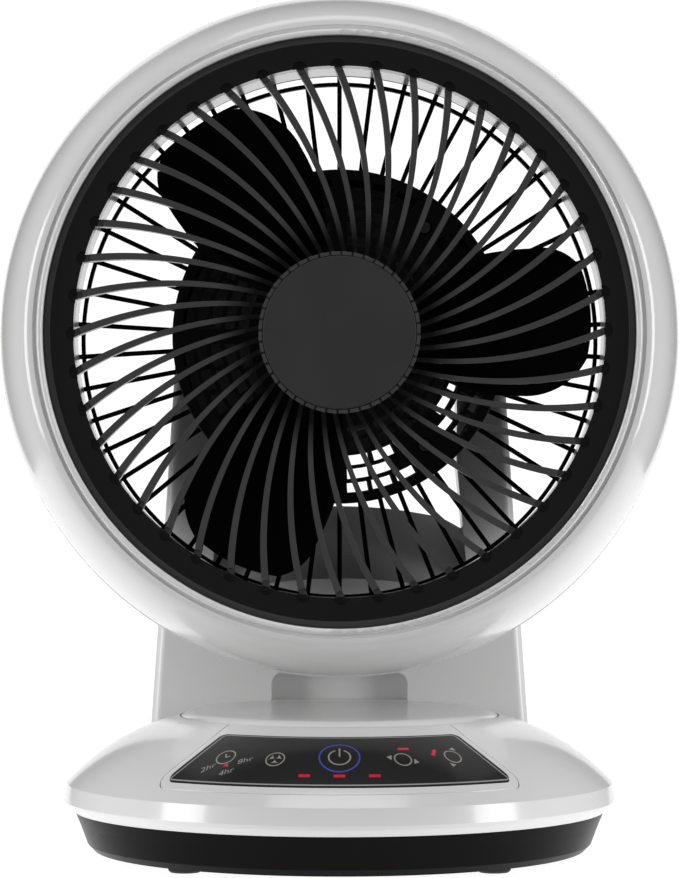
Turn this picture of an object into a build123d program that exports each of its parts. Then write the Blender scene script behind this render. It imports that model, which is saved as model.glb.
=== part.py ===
from build123d import *
from math import acos, atan, atan2, cos, degrees, hypot, pi, radians, sin, sqrt, tan
import os

os.makedirs("parts", exist_ok=True)

# A table-top air circulator fan. Millimetres, +Z up, the front faces -Y.
# The origin is the middle of the base on the surface that the fan stands on.

# ---- Shared wall and fit values -------------------------------------------------
WALL = 2.4            # moulded shell wall
SEAM = 0.25           # open line between two mouldings
RUN_FIT = 0.05        # radial clearance of a shaft in its bush
SEAT_GAP = 0.1        # between a piece and the curved seat that it is fixed on

# ---- Widths that follow from the housing between the arms -----------------------
HOUSING_R = 46.0      # cover behind the rear grille
ARM_IN_TOP_X = HOUSING_R + 2.9   # inner half width of the yoke beside the pivot
ARM_IN_FOOT_X = ARM_IN_TOP_X + 8.9
ARM_TOP_X = ARM_IN_TOP_X + 19.0  # outer half width at the pivot
ARM_FOOT_X = ARM_TOP_X + 11.3    # and low down
RIM_R = ARM_FOOT_X + 31.4        # widest circle of the base

# ---- Base -----------------------------------------------------------------------
RIM_Z = 22.0
BEYOND = 4 * RIM_R    # past every piece, for cutting blocks
TURNTABLE_R = 63.6
DECK_Z = 52.0         # flat top that the turntable runs over
DOME_TOP_R = TURNTABLE_R + 0.6  # where the dome starts, round the turntable
DOME_TOP_Z = 56.0
DOME_FOOT_R = RIM_R - 1.2       # where the dome meets the upright rim band
DOME_FOOT_Z = 29.6
DOME_CURVE = 90.0     # radius of the dome's arc in section
TUB_TOP_R = RIM_R - 4.4         # black lower shell, from its top edge down
TUB_TOP_Z = 18.4
TUB_WAIST_R = RIM_R - 6.5
TUB_WAIST_Z = 13.5
TUB_FOOT_R = RIM_R - 9.5
TUB_CORNER = 2.6
FOOT_HEIGHT = 3.0     # rubber feet hold the lower shell up by this
FOOT_R = 6.5
FOOT_CIRCLE = TUB_FOOT_R - 17.1
BASE_SCREW_CIRCLE = TUB_FOOT_R - 15.1
BASE_SCREW_ANGLES = (20, 160, 200, 340)
BOSS_R = 4.2
SCREW_R = 1.5
SCREW_HEAD_R = 2.8
SCREW_HEAD = 1.8

# ---- Control panel on the dome --------------------------------------------------
PANEL_IN_R = DOME_TOP_R + 9.7   # upper edge, an arc round the pan axis
PANEL_OUT_R = DOME_FOOT_R - 7.0  # lower edge
PANEL_IN_X = 44.7     # half widths at those edges
PANEL_OUT_X = 67.0
PANEL_SIDE_BOW = 2.4  # the sides curve in, and so look straight from the front
PANEL_CORNER = 3.0
PANEL_THICK = 1.2
FRAME_MARGIN = 2.4    # white strip round the glossy panel
FRAME_LEDGE = 2.0     # hidden rim of the frame under the shell
FRAME_LOW_X = 50.5    # half widths of the strip from the panel up to the turntable
FRAME_HIGH_X = 42.7
LIGHT_DEPTH = 0.7
SPEED_LIGHT_R = 97.4  # three bars along the lower edge
SPEED_LIGHT_STEP = 7.8
SWING_LIGHT = (16.8, 83.5)      # degrees from the front, radius
LIFT_LIGHT = (24.4, 86.4)
TIMER_LIGHT = (-27.2, 93.6)
BAR_LIGHT = (4.4, 1.5)
BOARD_THICK = 1.6
CONTROL_BOARD = (60.0, 17.0)
CONTROL_BOARD_R = 86.0
CONTROL_BOARD_DEPTH = 9.0
TOUCH_KEYS = ((-28.8, 89.0), (-15.7, 89.4), (0.0, 87.9), (15.5, 89.5), (28.8, 89.0))

# ---- Pan: turntable, spindle, gears and motor -----------------------------------
TURNTABLE_TOP = 57.8
TURNTABLE_EDGE_Z = 56.0
TURNTABLE_GAP = 1.4   # under the turntable, over the deck
WASHER_R = 46.0
WASHER_WIDTH = 7.0
SPINDLE_R = 11.0
SPINDLE_BORE_R = 7.0
SPINDLE_BOTTOM = 34.6
BUSH_WALL = 2.6
PAN_FLANGE_R = 19.0
MODULE = 1.0          # both gear pairs
PAN_TEETH = 48
PAN_PINION_TEETH = 12
GEAR_BOTTOM = 38.0
GEAR_WIDTH = 5.0
PRESSURE = radians(20)
ADDENDUM = 0.65
DEDENDUM = 1.05
BACKLASH = 0.3
PAN_MOTOR_R = 22.0
PAN_MOTOR_HEIGHT = 17.0
PAN_SHAFT_R = 2.5
CLIP_THICK = 1.2

# ---- Circles of the head, worked out from the impeller --------------------------
BLADE_TIP_R = 99.6
DUCT_R = BLADE_TIP_R + 5.4
GRILLE_OPEN_R = DUCT_R - 2.0
GRILLE_FLAT_R = DUCT_R + 7.0
GRILLE_R = GRILLE_FLAT_R + 2.6
SKIN_R = GRILLE_R + 22.7         # widest circle of the front shell
HEAD_RIM_R = SKIN_R + 1.2        # rear shell stands proud of it
HEAD_Z = TURNTABLE_TOP + HEAD_RIM_R + 11.7  # height of the fan axis, and of the tilt axis

# ---- Yoke -----------------------------------------------------------------------
TILT_Y = 56.0         # tilt axis, level, behind the head
ARM_FOOT_Z = 50.0
ARM_IN_FOOT_Z = 70.0
ARM_IN_TOP_Z = 158.0
EYE_R = 14.0          # round top of each arm
ARM_FRONT_Y = 58.0    # front wall, upright above the turntable
ARM_KNEE_Z = 97.0     # where the arms start to lean forward
YOKE_LOW_Z = 28.0     # the yoke is drawn down to here, then cut by the dome
YOKE_BACK_Y = RIM_R - 6.6  # middle of the bowed back, low down
YOKE_WAIST_Y = 90.0   # and at the top of the wall
YOKE_BOW = 160.0      # plan radius of the bowed back
YOKE_ROUND_R = RIM_R - 3.0  # plan circle that rounds the rear corners
YOKE_EDGE = 4.0       # rounding of the outer edges
FORK_EDGE = 2.0       # and of the edges between the arms
SCOOP_FOOT_Z = 110.8  # sloping top of the wall between the arms
SCOOP_BACK_Y = 84.0
SCOOP_BACK_Z = 139.0
SCOOP_DIP = 5.0       # how much lower the scoop is at its sides
YOKE_LIFT = 1.5       # running gap over the dome
YOKE_SCREW_X = 10.4   # screws of the two shells, in from the arm's outer side
YOKE_SCREW_Z = (88.0, 140.0)
ARCH_HALF = 28.6      # arched recess at the wall's foot
ARCH_TOP_Z = 69.5
ARCH_DEPTH = 10.0
ARCH_CORNER = 5.0
FOOT_BLOCK_X = 44.0
FOOT_BLOCK_BACK = 82.0
FOOT_SCREW_X = 37.0   # screws that hold the yoke down on the turntable
FOOT_SCREW_Y = 66.0
SPLIT_TOP_Y = TILT_Y
SPLIT_FOOT_Y = 72.0
SPLIT_FOOT_Z = 60.0

# ---- Tilt drive in the right arm ------------------------------------------------
TRUNNION_R = 6.0
TRUNNION_FLANGE_R = 10.0
TRUNNION_FLANGE = 1.4
GEAR_SEAT_R = 4.0
TILT_TEETH = 20
TILT_PINION_TEETH = 10
TILT_GEAR_X = ARM_IN_TOP_X + 11.7
TILT_GEAR_WIDTH = 4.0
TILT_MOTOR_R = 10.5
TILT_MOTOR_BACK = 3.0  # motor middle behind its offset shaft
TILT_MOTOR_LENGTH = 8.2
TILT_MOTOR_DROP = 9.0  # motor middle below its offset shaft
TILT_SHAFT_R = 1.5

# ---- Head -----------------------------------------------------------------------
FACE_Y = -54.2        # front of the white lip
LIP_IN_R = GRILLE_R + 0.3
LIP_OUT_R = LIP_IN_R + 2.3
GROOVE_OUT_R = LIP_OUT_R + 1.6
GROOVE_DEPTH = 1.8
HEAD_RIM_Y = 22.0
HEAD_SHOULDER_Y = 27.0
HEAD_BACK_Y = 38.0
BACK_OPEN_R = DUCT_R + 8.2
DUCT_BACK_Y = -2.0
GRILLE_SEAT_Y = -46.0
SHELL_SCREW_CIRCLE = BACK_OPEN_R + 13.8
SHELL_SCREW_ANGLES = (30, 90, 150, 210, 270, 330)

# ---- Front grille ---------------------------------------------------------------
SPOKES = 44
FIRST_SPOKE = 90.4    # degrees, outer end
GRILLE_FACE_Y = -52.0
GRILLE_BACK_Y = -43.0
GRILLE_DISH = 5.0     # the hub lies this far behind the ring
CAP_R = 31.5
SPOKE_OUT_WIDTH = 3.0
SPOKE_IN_WIDTH = 1.8
SWIRL_LINEAR = 0.205  # degrees of swirl per mm inward from the ring
SWIRL_SQUARE = 0.00105
POCKET_R = 2.8        # hollow in the ring at each spoke's outer end
POCKET_DEPTH = 1.6
HUB_RIM = 1.4         # raised rim of the hub round the cap
NOTCH_WIDTH = 0.8     # one notch in that rim beside each spoke
NOTCH_DEPTH = 1.0
NOTCH_TURN = 1.85     # degrees past the spoke
CAP_THICK = 1.6

# ---- Impeller -------------------------------------------------------------------
BLADE_ANGLES = (5, 125, 245)
BLADE_LEAD = 24.0     # mm of travel along the axis per radian
BLADE_MID_Y = -25.0
BLADE_THICK = 1.8
BLADE_CAMBER = 3.0
HUB_R = 29.0
HUB_FRONT_Y = -37.6
HUB_BACK_Y = -12.0
SHAFT_R = 4.0
NUT_R = 9.0
NUT_LENGTH = 7.0

# ---- Motor housing, motor and rear grille ---------------------------------------
DRUM_R = 67.0
DRUM_FRONT_Y = -9.0
PLATE_Y = 35.0        # front face of the rear grille's plate
VENT_RINGS = (38.5, 44.1, 49.7, 55.3, 60.9)
VENT_HEIGHT = 4.0
VENT_RIB = 1.7
OPEN_QUARTERS = (3,)     # the plate behind the drum has vents at the lower right only
MAIN_RIB = 4.4
COVER_SCREW_CIRCLE = 55.3
COVER_SCREW_ANGLES = (52, 128, 232, 308)
REAR_SPOKES = 50
REAR_SPOKE_WIDTH = 1.9
REAR_RING_R = DUCT_R + 0.9
REAR_RING_WIDTH = 1.6
REAR_RIM_WIDTH = 3.6
HOUSING_BACK_Y = 88.0
HOUSING_FLANGE = 4.5
STATOR_R = 38.0
STATOR_FRONT_Y = 6.0
STATOR_LENGTH = 20.0
ROTOR_R = 21.0
BEARING_R = 9.0
BEARING_LENGTH = 6.0
BELL_DEPTH = 9.0

# ---- Power board and cord inlet -------------------------------------------------
POWER_BOARD = (40.0, 56.0)
POWER_BOARD_X = -48.0
POWER_BOARD_Y = -2.0
POST_HEIGHT = 6.0
POST_R = 3.0
CORD_BORE_R = 3.2
GLAND_R = 5.0
GLAND_Z = 11.2
GLAND_LENGTH = 12.0
GLAND_FLANGE = 2.0
GLAND_FLANGE_R = GLAND_R + 1.4


# ==== Drawing helpers ============================================================
def polar(radius, angle):
    return (radius * cos(radians(angle)), radius * sin(radians(angle)))


def outline(*edges):
    return make_face(Curve() + list(edges))


def sector(inner, outer, start, stop):
    """Flat piece of a ring, from one angle to another."""
    middle = (start + stop) / 2
    return outline(
        ThreePointArc(polar(outer, start), polar(outer, middle), polar(outer, stop)),
        Line(polar(outer, stop), polar(inner, stop)),
        ThreePointArc(polar(inner, stop), polar(inner, middle), polar(inner, start)),
        Line(polar(inner, start), polar(outer, start)))


def ring(outer, inner):
    return Circle(outer) - Circle(inner)


FAN_AXIS = Axis((0, 0, HEAD_Z), (0, 1, 0))


def fan_plane(y):
    """Upright plane across the fan axis. A positive extrusion goes to the front."""
    return Plane(origin=(0, y, HEAD_Z), x_dir=(1, 0, 0), z_dir=(0, -1, 0))


def fan_disc(sketch, front, back):
    """Flat piece between two depths along the fan axis."""
    return extrude(fan_plane(back) * sketch, back - front)


def fan_turned(profile):
    """Piece turned round the fan axis, from a profile in (radius, y)."""
    return revolve(Pos(0, 0, HEAD_Z) * profile, FAN_AXIS)


def base_turned(profile):
    """Piece turned round the pan axis, from a profile in (radius, z)."""
    return revolve(Plane.XZ * profile, Axis.Z)


def front_plane(y):
    """Upright plane across the base, seen from the front, in (x, z)."""
    return Plane(origin=(0, y, 0), x_dir=(1, 0, 0), z_dir=(0, -1, 0))


def upright(sketch, bottom, top):
    return extrude(Pos(0, 0, bottom) * sketch, top - bottom)


def cross_plane(x):
    """Plane across the tilt axis, centred on it. Local x is world Y."""
    return Plane(origin=(x, TILT_Y, HEAD_Z), x_dir=(0, 1, 0), z_dir=(1, 0, 0))


def cross_disc(sketch, start, stop):
    return extrude(cross_plane(start) * sketch, stop - start)


def around(radius, angles, shape):
    """Copies of an upright piece at places on a circle round the pan axis."""
    return [Pos(*polar(radius, angle), 0) * shape for angle in angles]


def group(shapes):
    return Compound(children=[Solid(shape.solid().wrapped) for shape in shapes])


# ==== The dome of the base =======================================================
def dome_centre():
    """Middle of the arc through the dome's top and foot points, in (radius, z)."""
    across = DOME_FOOT_R - DOME_TOP_R
    down = DOME_FOOT_Z - DOME_TOP_Z
    chord = hypot(across, down)
    rise = sqrt(DOME_CURVE ** 2 - chord ** 2 / 4)
    middle_r = (DOME_TOP_R + DOME_FOOT_R) / 2
    middle_z = (DOME_TOP_Z + DOME_FOOT_Z) / 2
    return (middle_r + down / chord * rise, middle_z - across / chord * rise)


DOME_C = dome_centre()
BASE_SPAN = (DOME_TOP_R + WALL + 0.4, DOME_FOOT_R - WALL - 1.6)


def dome_z(radius, depth=0.0):
    """Height of the dome, or of a surface this far under it."""
    reach = DOME_CURVE - depth
    return DOME_C[1] + sqrt(reach ** 2 - (radius - DOME_C[0]) ** 2)


def dome_arc(start, stop, depth=0.0):
    middle = (start + stop) / 2
    return ThreePointArc(*[(r, dome_z(r, depth)) for r in (start, middle, stop)])


def dome_band(start, stop, shallow, deep):
    """Ring of the dome's wall between two radii and two depths."""
    return base_turned(outline(
        dome_arc(start, stop, shallow),
        Line((stop, dome_z(stop, shallow)), (stop, dome_z(stop, deep))),
        dome_arc(stop, start, deep),
        Line((start, dome_z(start, deep)), (start, dome_z(start, shallow)))))


def below_dome(depth, inner=0.0):
    """Everything inside the base that is at least this far under the dome."""
    start = max(inner, BASE_SPAN[0])
    shape = outline(
        Line((inner, 0), (inner, DECK_Z - WALL)),
        Line((inner, DECK_Z - WALL), (start, DECK_Z - WALL)),
        Line((start, DECK_Z - WALL), (start, dome_z(start, depth))),
        dome_arc(start, BASE_SPAN[1], depth),
        Line((BASE_SPAN[1], dome_z(BASE_SPAN[1], depth)), (BASE_SPAN[1], 0)),
        Line((BASE_SPAN[1], 0), (inner, 0)))
    return base_turned(shape)


def dome_plane(angle, radius, depth=0.0):
    """Plane resting on the dome at degrees from the front, its x along the ring."""
    tilt = atan((radius - DOME_C[0]) / (dome_z(radius) - DOME_C[1]))
    turn = radians(angle)
    outward = Vector(sin(turn), -cos(turn), 0)
    normal = outward * sin(tilt) + Vector(0, 0, cos(tilt))
    spot = outward * radius + Vector(0, 0, dome_z(radius)) - normal * depth
    return Plane(origin=spot, x_dir=(cos(turn), sin(turn), 0), z_dir=normal)


# ==== Gears ======================================================================
def gear_radii(teeth):
    pitch = MODULE * teeth / 2
    return pitch, pitch * cos(PRESSURE), pitch + ADDENDUM * MODULE, pitch - DEDENDUM * MODULE


def gear_outline(teeth):
    """Spur gear with involute flanks, one tooth on the local x axis."""
    pitch, base, tip, root = gear_radii(teeth)

    def half_tooth(radius):
        angle = acos(min(1, base / radius))
        thick = (pi * MODULE / 2 - BACKLASH) / (2 * pitch)
        return degrees(thick + tan(PRESSURE) - PRESSURE - tan(angle) + angle)

    start = max(base, root)
    step = 360 / teeth
    edges = []
    for index in range(teeth):
        at = index * step
        low, mid, high = [half_tooth(r) for r in (start, (start + tip) / 2, tip)]
        if root < start:
            edges.append(Line(polar(root, at - low), polar(start, at - low)))
            edges.append(Line(polar(start, at + low), polar(root, at + low)))
        edges.append(ThreePointArc(polar(start, at - low), polar((start + tip) / 2, at - mid),
                                   polar(tip, at - high)))
        edges.append(ThreePointArc(polar(tip, at - high), polar(tip, at), polar(tip, at + high)))
        edges.append(ThreePointArc(polar(tip, at + high), polar((start + tip) / 2, at + mid),
                                   polar(start, at + low)))
        edges.append(ThreePointArc(polar(root, at + low), polar(root, at + step / 2),
                                   polar(root, at + step - low)))
    return outline(*edges)


def centre_distance(teeth, pinion_teeth):
    return MODULE * (teeth + pinion_teeth) / 2


# ==== Base: shells, feet, screws =================================================
TUB_FLOOR_Z = FOOT_HEIGHT + WALL


def upper_shell_blank():
    inner_foot = DOME_FOOT_R - WALL
    inner_top = DOME_TOP_R + WALL
    deck_hole = SPINDLE_R + RUN_FIT + BUSH_WALL
    return base_turned(outline(
        Polyline((deck_hole, DECK_Z - WALL), (deck_hole, DECK_Z), (DOME_TOP_R, DECK_Z),
                 (DOME_TOP_R, DOME_TOP_Z)),
        dome_arc(DOME_TOP_R, DOME_FOOT_R),
        Polyline((DOME_FOOT_R, DOME_FOOT_Z), (RIM_R, RIM_Z + 1.0), (RIM_R - 0.6, RIM_Z - 0.6),
                 (TUB_TOP_R + 0.4, TUB_TOP_Z + SEAM), (TUB_TOP_R - WALL, TUB_TOP_Z + SEAM),
                 (RIM_R - WALL - 0.6, RIM_Z + 1.4), (inner_foot, dome_z(inner_foot, WALL))),
        dome_arc(inner_foot, inner_top, WALL),
        Polyline((inner_top, dome_z(inner_top, WALL)), (inner_top, DECK_Z - WALL),
                 (deck_hole, DECK_Z - WALL))))


def front_point(x, radius):
    """Point of a circle round the pan axis, on its front half."""
    return (x, -sqrt(radius ** 2 - x ** 2))


def meeting_point(radius, centre, reach):
    """Where a circle round the pan axis meets the near side of another circle."""
    away = hypot(*centre)
    turn = acos((radius ** 2 + away ** 2 - reach ** 2) / (2 * radius * away))
    return polar(radius, degrees(atan2(centre[1], centre[0]) - turn))


def panel_outline(margin):
    """The panel's plan: two arcs round the pan axis and two slanting, bowed sides."""
    top, foot = front_point(PANEL_IN_X, PANEL_IN_R), front_point(PANEL_OUT_X, PANEL_OUT_R)
    half = hypot(foot[0] - top[0], foot[1] - top[1]) / 2
    out_x, out_y = (top[1] - foot[1]) / (2 * half), (foot[0] - top[0]) / (2 * half)
    reach = (half ** 2 + PANEL_SIDE_BOW ** 2) / (2 * PANEL_SIDE_BOW)
    away = reach - PANEL_SIDE_BOW
    centre = ((top[0] + foot[0]) / 2 + out_x * away, (top[1] + foot[1]) / 2 + out_y * away)
    reach -= margin
    inner, outer = PANEL_IN_R - margin, PANEL_OUT_R + margin
    top, foot = meeting_point(inner, centre, reach), meeting_point(outer, centre, reach)
    middle = (centre[0] - out_x * reach, centre[1] - out_y * reach)
    left_top, left_middle, left_foot = [(-x, y) for x, y in (top, middle, foot)]
    shape = outline(
        ThreePointArc(left_top, (0, -inner), top), ThreePointArc(top, middle, foot),
        ThreePointArc(foot, (0, -outer), left_foot), ThreePointArc(left_foot, left_middle, left_top))
    return fillet(shape.vertices(), PANEL_CORNER + margin / 2)


def frame_outline(margin):
    """Plan of the white frame: the panel's strip, run up to the turntable."""
    low, high = PANEL_IN_R + 8, DOME_TOP_R + 0.9 - margin
    right_low = front_point(FRAME_LOW_X + margin, low)
    right_high = front_point(FRAME_HIGH_X + margin, high)
    left_low, left_high = [(-x, y) for x, y in (right_low, right_high)]
    top = outline(
        ThreePointArc(left_low, (0, -low), right_low), Line(right_low, right_high),
        ThreePointArc(right_high, (0, -high), left_high), Line(left_high, left_low))
    return panel_outline(FRAME_MARGIN + margin) + top


def make_upper_shell():
    shell = upper_shell_blank()
    hole = upright(frame_outline(SEAM), DOME_FOOT_Z, DECK_Z + 12)
    shell -= hole & dome_band(DOME_TOP_R + 0.6, DOME_FOOT_R - 0.6, -1, WALL + 1)
    bosses = around(BASE_SCREW_CIRCLE, BASE_SCREW_ANGLES,
                    upright(ring(BOSS_R, SCREW_R), TUB_FLOOR_Z + 0.2, DECK_Z))
    for boss in bosses:
        shell += boss & below_dome(WALL / 2)
    for mount in pan_motor_mounts():
        shell += upright(mount * ring(BOSS_R, SCREW_R), PAN_MOTOR_TOP + 1.2, DECK_Z - WALL + 0.5)
    return shell


def make_lower_shell():
    floor = FOOT_HEIGHT
    tub = base_turned(outline(
        Line((0, floor), (TUB_FOOT_R - TUB_CORNER, floor)),
        Line((TUB_FOOT_R - TUB_CORNER, floor), (TUB_FOOT_R, floor + TUB_CORNER)),
        Polyline((TUB_FOOT_R, floor + TUB_CORNER), (TUB_WAIST_R, TUB_WAIST_Z),
                 (TUB_TOP_R, TUB_TOP_Z), (TUB_TOP_R - WALL - 0.5, TUB_TOP_Z),
                 (TUB_TOP_R - WALL - 0.5, TUB_TOP_Z + WALL), (TUB_WAIST_R - 2 * WALL, TUB_TOP_Z + WALL),
                 (TUB_WAIST_R - 2 * WALL, TUB_WAIST_Z), (TUB_FOOT_R - 2 * WALL, TUB_FLOOR_Z),
                 (0, TUB_FLOOR_Z), (0, floor))))
    screw_well = upright(Circle(SCREW_HEAD_R + 0.3), floor - 1, floor + SCREW_HEAD / 2)
    screw_hole = upright(Circle(SCREW_R + 0.2), floor - 1, TUB_FLOOR_Z + 1)
    for cut in around(BASE_SCREW_CIRCLE, BASE_SCREW_ANGLES, screw_well + screw_hole):
        tub -= cut
    for place in power_board_posts():
        tub += upright(place * ring(POST_R, SCREW_R - 0.4), TUB_FLOOR_Z - 0.4, POWER_BOARD_Z)
    return tub - gland_stage(GLAND_R, TUB_WAIST_R - GLAND_LENGTH - 4, gland_seat() + GLAND_FLANGE)


def gland_seat():
    """How far back the gland's flange starts: past the widest part of the tub behind it."""
    slope = (TUB_TOP_R - TUB_WAIST_R) / (TUB_TOP_Z - TUB_WAIST_Z)
    rise = GLAND_Z + GLAND_FLANGE_R - TUB_WAIST_Z
    return TUB_WAIST_R + max(slope * rise, 0) + SEAT_GAP


def gland_stage(radius, start, stop):
    """Round bar along the cord's axis, between two depths."""
    plane = Plane(origin=(0, stop, GLAND_Z), x_dir=(1, 0, 0), z_dir=(0, -1, 0))
    return extrude(plane * Circle(radius), stop - start)


def make_rubber_feet():
    foot = upright(Circle(FOOT_R), 0, FOOT_HEIGHT)
    foot = chamfer(foot.edges().group_by(Axis.Z)[0], 0.8)
    return group(around(FOOT_CIRCLE, (45, 135, 225, 315), foot))


def screw(length, head_r=SCREW_HEAD_R, head=SCREW_HEAD, body_r=SCREW_R):
    """Pan-head screw that points along +Z, its head's underside at zero."""
    body = upright(Circle(body_r), 0, length)
    top = upright(Circle(head_r), -head, 0)
    top = chamfer(top.edges().group_by(Axis.Z)[0], 0.5)
    slot = Box(head_r * 1.3, 0.7, 0.8, align=(Align.CENTER, Align.CENTER, Align.MIN))
    cross = Pos(0, 0, -head) * (slot + Rot(0, 0, 90) * slot)
    return body + top - cross


def make_base_screws():
    seat = FOOT_HEIGHT + SCREW_HEAD / 2
    blank = Pos(0, 0, seat) * screw(12, head=SCREW_HEAD / 2, body_r=SCREW_R - 0.02)
    return group(around(BASE_SCREW_CIRCLE, BASE_SCREW_ANGLES, blank))


# ==== Control panel ==============================================================
def light_places():
    """Local frames of the red lights: three speed bars, two swing bars, one timer mark."""
    bars = [dome_plane(turn, SPEED_LIGHT_R) for turn in (-SPEED_LIGHT_STEP, 0, SPEED_LIGHT_STEP)]
    bars.append(dome_plane(*SWING_LIGHT))
    bars.append(dome_plane(*LIFT_LIGHT) * Rot(0, 0, 60))
    shapes = [bar * Rectangle(*BAR_LIGHT) for bar in bars]
    shapes.append(dome_plane(*TIMER_LIGHT) * RegularPolygon(1.5, 3, rotation=90))
    return shapes


def light_pocket(face):
    return extrude(face, 1.5) + extrude(face, -LIGHT_DEPTH)


PANEL_SPAN = (DOME_TOP_R + 0.5, DOME_FOOT_R - 0.5)


def panel_top():
    return dome_band(*PANEL_SPAN, 0, PANEL_THICK)


def make_control_panel():
    panel = panel_top() & upright(panel_outline(-SEAT_GAP), DOME_FOOT_Z, DECK_Z + 12)
    for face in light_places():
        panel -= light_pocket(face)
    return panel


def make_indicator_lights():
    skin = dome_band(*PANEL_SPAN, -0.1, LIGHT_DEPTH - 0.05)
    return group([skin & light_pocket(offset(face, -0.05)) for face in light_places()])


def make_panel_frame():
    recess = PANEL_THICK + SEAT_GAP
    body = dome_band(*PANEL_SPAN, 0, WALL)
    strip = body & upright(frame_outline(0), DOME_FOOT_Z - 2, DECK_Z + 12)
    strip -= (dome_band(*PANEL_SPAN, -1, recess)
              & upright(panel_outline(0), DOME_FOOT_Z - 2, DECK_Z + 12))
    under = dome_band(*BASE_SPAN, WALL + SEAT_GAP, 2 * WALL - 1)
    ledge = under & upright(frame_outline(FRAME_LEDGE), DOME_FOOT_Z - 4, DECK_Z + 12)
    web = (dome_band(*BASE_SPAN, WALL - 0.4, 2 * WALL - 1.4)
           & upright(frame_outline(-0.2), DOME_FOOT_Z - 2, DECK_Z + 12))
    frame = strip + ledge + web
    plane = dome_plane(0, CONTROL_BOARD_R, CONTROL_BOARD_DEPTH)
    reach = below_dome(WALL + 0.5)
    for place in control_posts():
        frame += extrude(plane * place * Circle(BOSS_R / 2), CONTROL_BOARD_DEPTH) & reach
    return frame


def control_posts():
    across = CONTROL_BOARD[0] / 2 - 4
    return [Pos(x, y) for x in (-across, across) for y in (-CONTROL_BOARD[1] / 4, CONTROL_BOARD[1] / 4)]


def make_control_board():
    plane = dome_plane(0, CONTROL_BOARD_R, CONTROL_BOARD_DEPTH)
    return extrude(plane * RectangleRounded(*CONTROL_BOARD, 2), -BOARD_THICK)


def make_touch_springs():
    """Sprung contact posts between the board and the touch marks."""
    plane = dome_plane(0, CONTROL_BOARD_R, CONTROL_BOARD_DEPTH)
    reach = below_dome(2 * WALL - 0.9)
    posts = []
    for angle, radius in TOUCH_KEYS:
        spot = plane.to_local_coords(dome_plane(angle, radius).origin)
        across = max(-CONTROL_BOARD[0] / 2 + 8.5, min(CONTROL_BOARD[0] / 2 - 8.5, spot.X))
        post = extrude(plane * Pos(across, 0) * ring(2.4, 1.8), CONTROL_BOARD_DEPTH)
        posts.append(post & reach)
    return group(posts)


# ==== Pan drive ==================================================================
PAN_CENTRE = centre_distance(PAN_TEETH, PAN_PINION_TEETH)
PAN_MOTOR_TOP = GEAR_BOTTOM - 5.0
PAN_MOTOR_Y = PAN_CENTRE


def pan_motor_mounts():
    return [Pos(side * (PAN_MOTOR_R + 5.5), PAN_MOTOR_Y) for side in (-1, 1)]


def make_pan_motor():
    bottom = PAN_MOTOR_TOP - PAN_MOTOR_HEIGHT
    can = upright(Pos(0, PAN_MOTOR_Y) * Circle(PAN_MOTOR_R), bottom, PAN_MOTOR_TOP)
    can = chamfer(can.edges().group_by(Axis.Z)[-1], 1.2)
    ears = Pos(0, PAN_MOTOR_Y) * SlotCenterToCenter(2 * (PAN_MOTOR_R + 5.5), 2 * BOSS_R)
    for mount in pan_motor_mounts():
        ears -= mount * Circle(SCREW_R + 0.2)
    plate = upright(ears, PAN_MOTOR_TOP, PAN_MOTOR_TOP + 1.2)
    shaft = upright(Pos(0, PAN_MOTOR_Y) * Circle(PAN_SHAFT_R), PAN_MOTOR_TOP, GEAR_BOTTOM + GEAR_WIDTH)
    return can + plate + shaft


def make_pan_motor_screws():
    seat = PAN_MOTOR_TOP
    blank = Pos(0, 0, seat) * screw(8, body_r=SCREW_R - 0.02)
    return group([mount * blank for mount in pan_motor_mounts()])


def make_pan_pinion():
    blank = Rot(0, 0, 270 + 180 / PAN_PINION_TEETH) * gear_outline(PAN_PINION_TEETH)
    blank -= Circle(PAN_SHAFT_R + RUN_FIT)
    return upright(Pos(0, PAN_MOTOR_Y) * blank, GEAR_BOTTOM, GEAR_BOTTOM + GEAR_WIDTH)


def make_pan_gear():
    blank = Rot(0, 0, 90) * gear_outline(PAN_TEETH) - Circle(SPINDLE_R + 0.02)
    hub = upright(ring(SPINDLE_R + 4, SPINDLE_R + 0.02), GEAR_BOTTOM - 1, GEAR_BOTTOM + GEAR_WIDTH + 2)
    return upright(blank, GEAR_BOTTOM, GEAR_BOTTOM + GEAR_WIDTH) + hub


def make_pan_spindle():
    top = DECK_Z + TURNTABLE_GAP
    tube = upright(ring(SPINDLE_R, SPINDLE_BORE_R), SPINDLE_BOTTOM, top)
    flange = upright(ring(PAN_FLANGE_R, SPINDLE_BORE_R), top - 0.9, top)
    groove = upright(ring(SPINDLE_R + 1, SPINDLE_R - 1.2), CLIP_Z - 0.05, CLIP_Z + CLIP_THICK + 0.05)
    return tube + flange - groove


CLIP_Z = SPINDLE_BOTTOM + 0.9


def make_spindle_clip():
    shape = ring(SPINDLE_R + 3, SPINDLE_R - 1.15) - Pos(SPINDLE_R, 0) * Rectangle(10, 9)
    return upright(shape, CLIP_Z, CLIP_Z + CLIP_THICK)


def make_pan_bush():
    inner = SPINDLE_R + RUN_FIT
    body = upright(ring(inner + BUSH_WALL - 0.05, inner), GEAR_BOTTOM + GEAR_WIDTH + 2.3, DECK_Z)
    flange = upright(ring(inner + BUSH_WALL + 3, inner), DECK_Z - WALL - 1.5, DECK_Z - WALL)
    return body + flange


def make_thrust_washer():
    return upright(ring(WASHER_R, WASHER_R - WASHER_WIDTH), DECK_Z, DECK_Z + TURNTABLE_GAP - 0.3)


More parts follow.
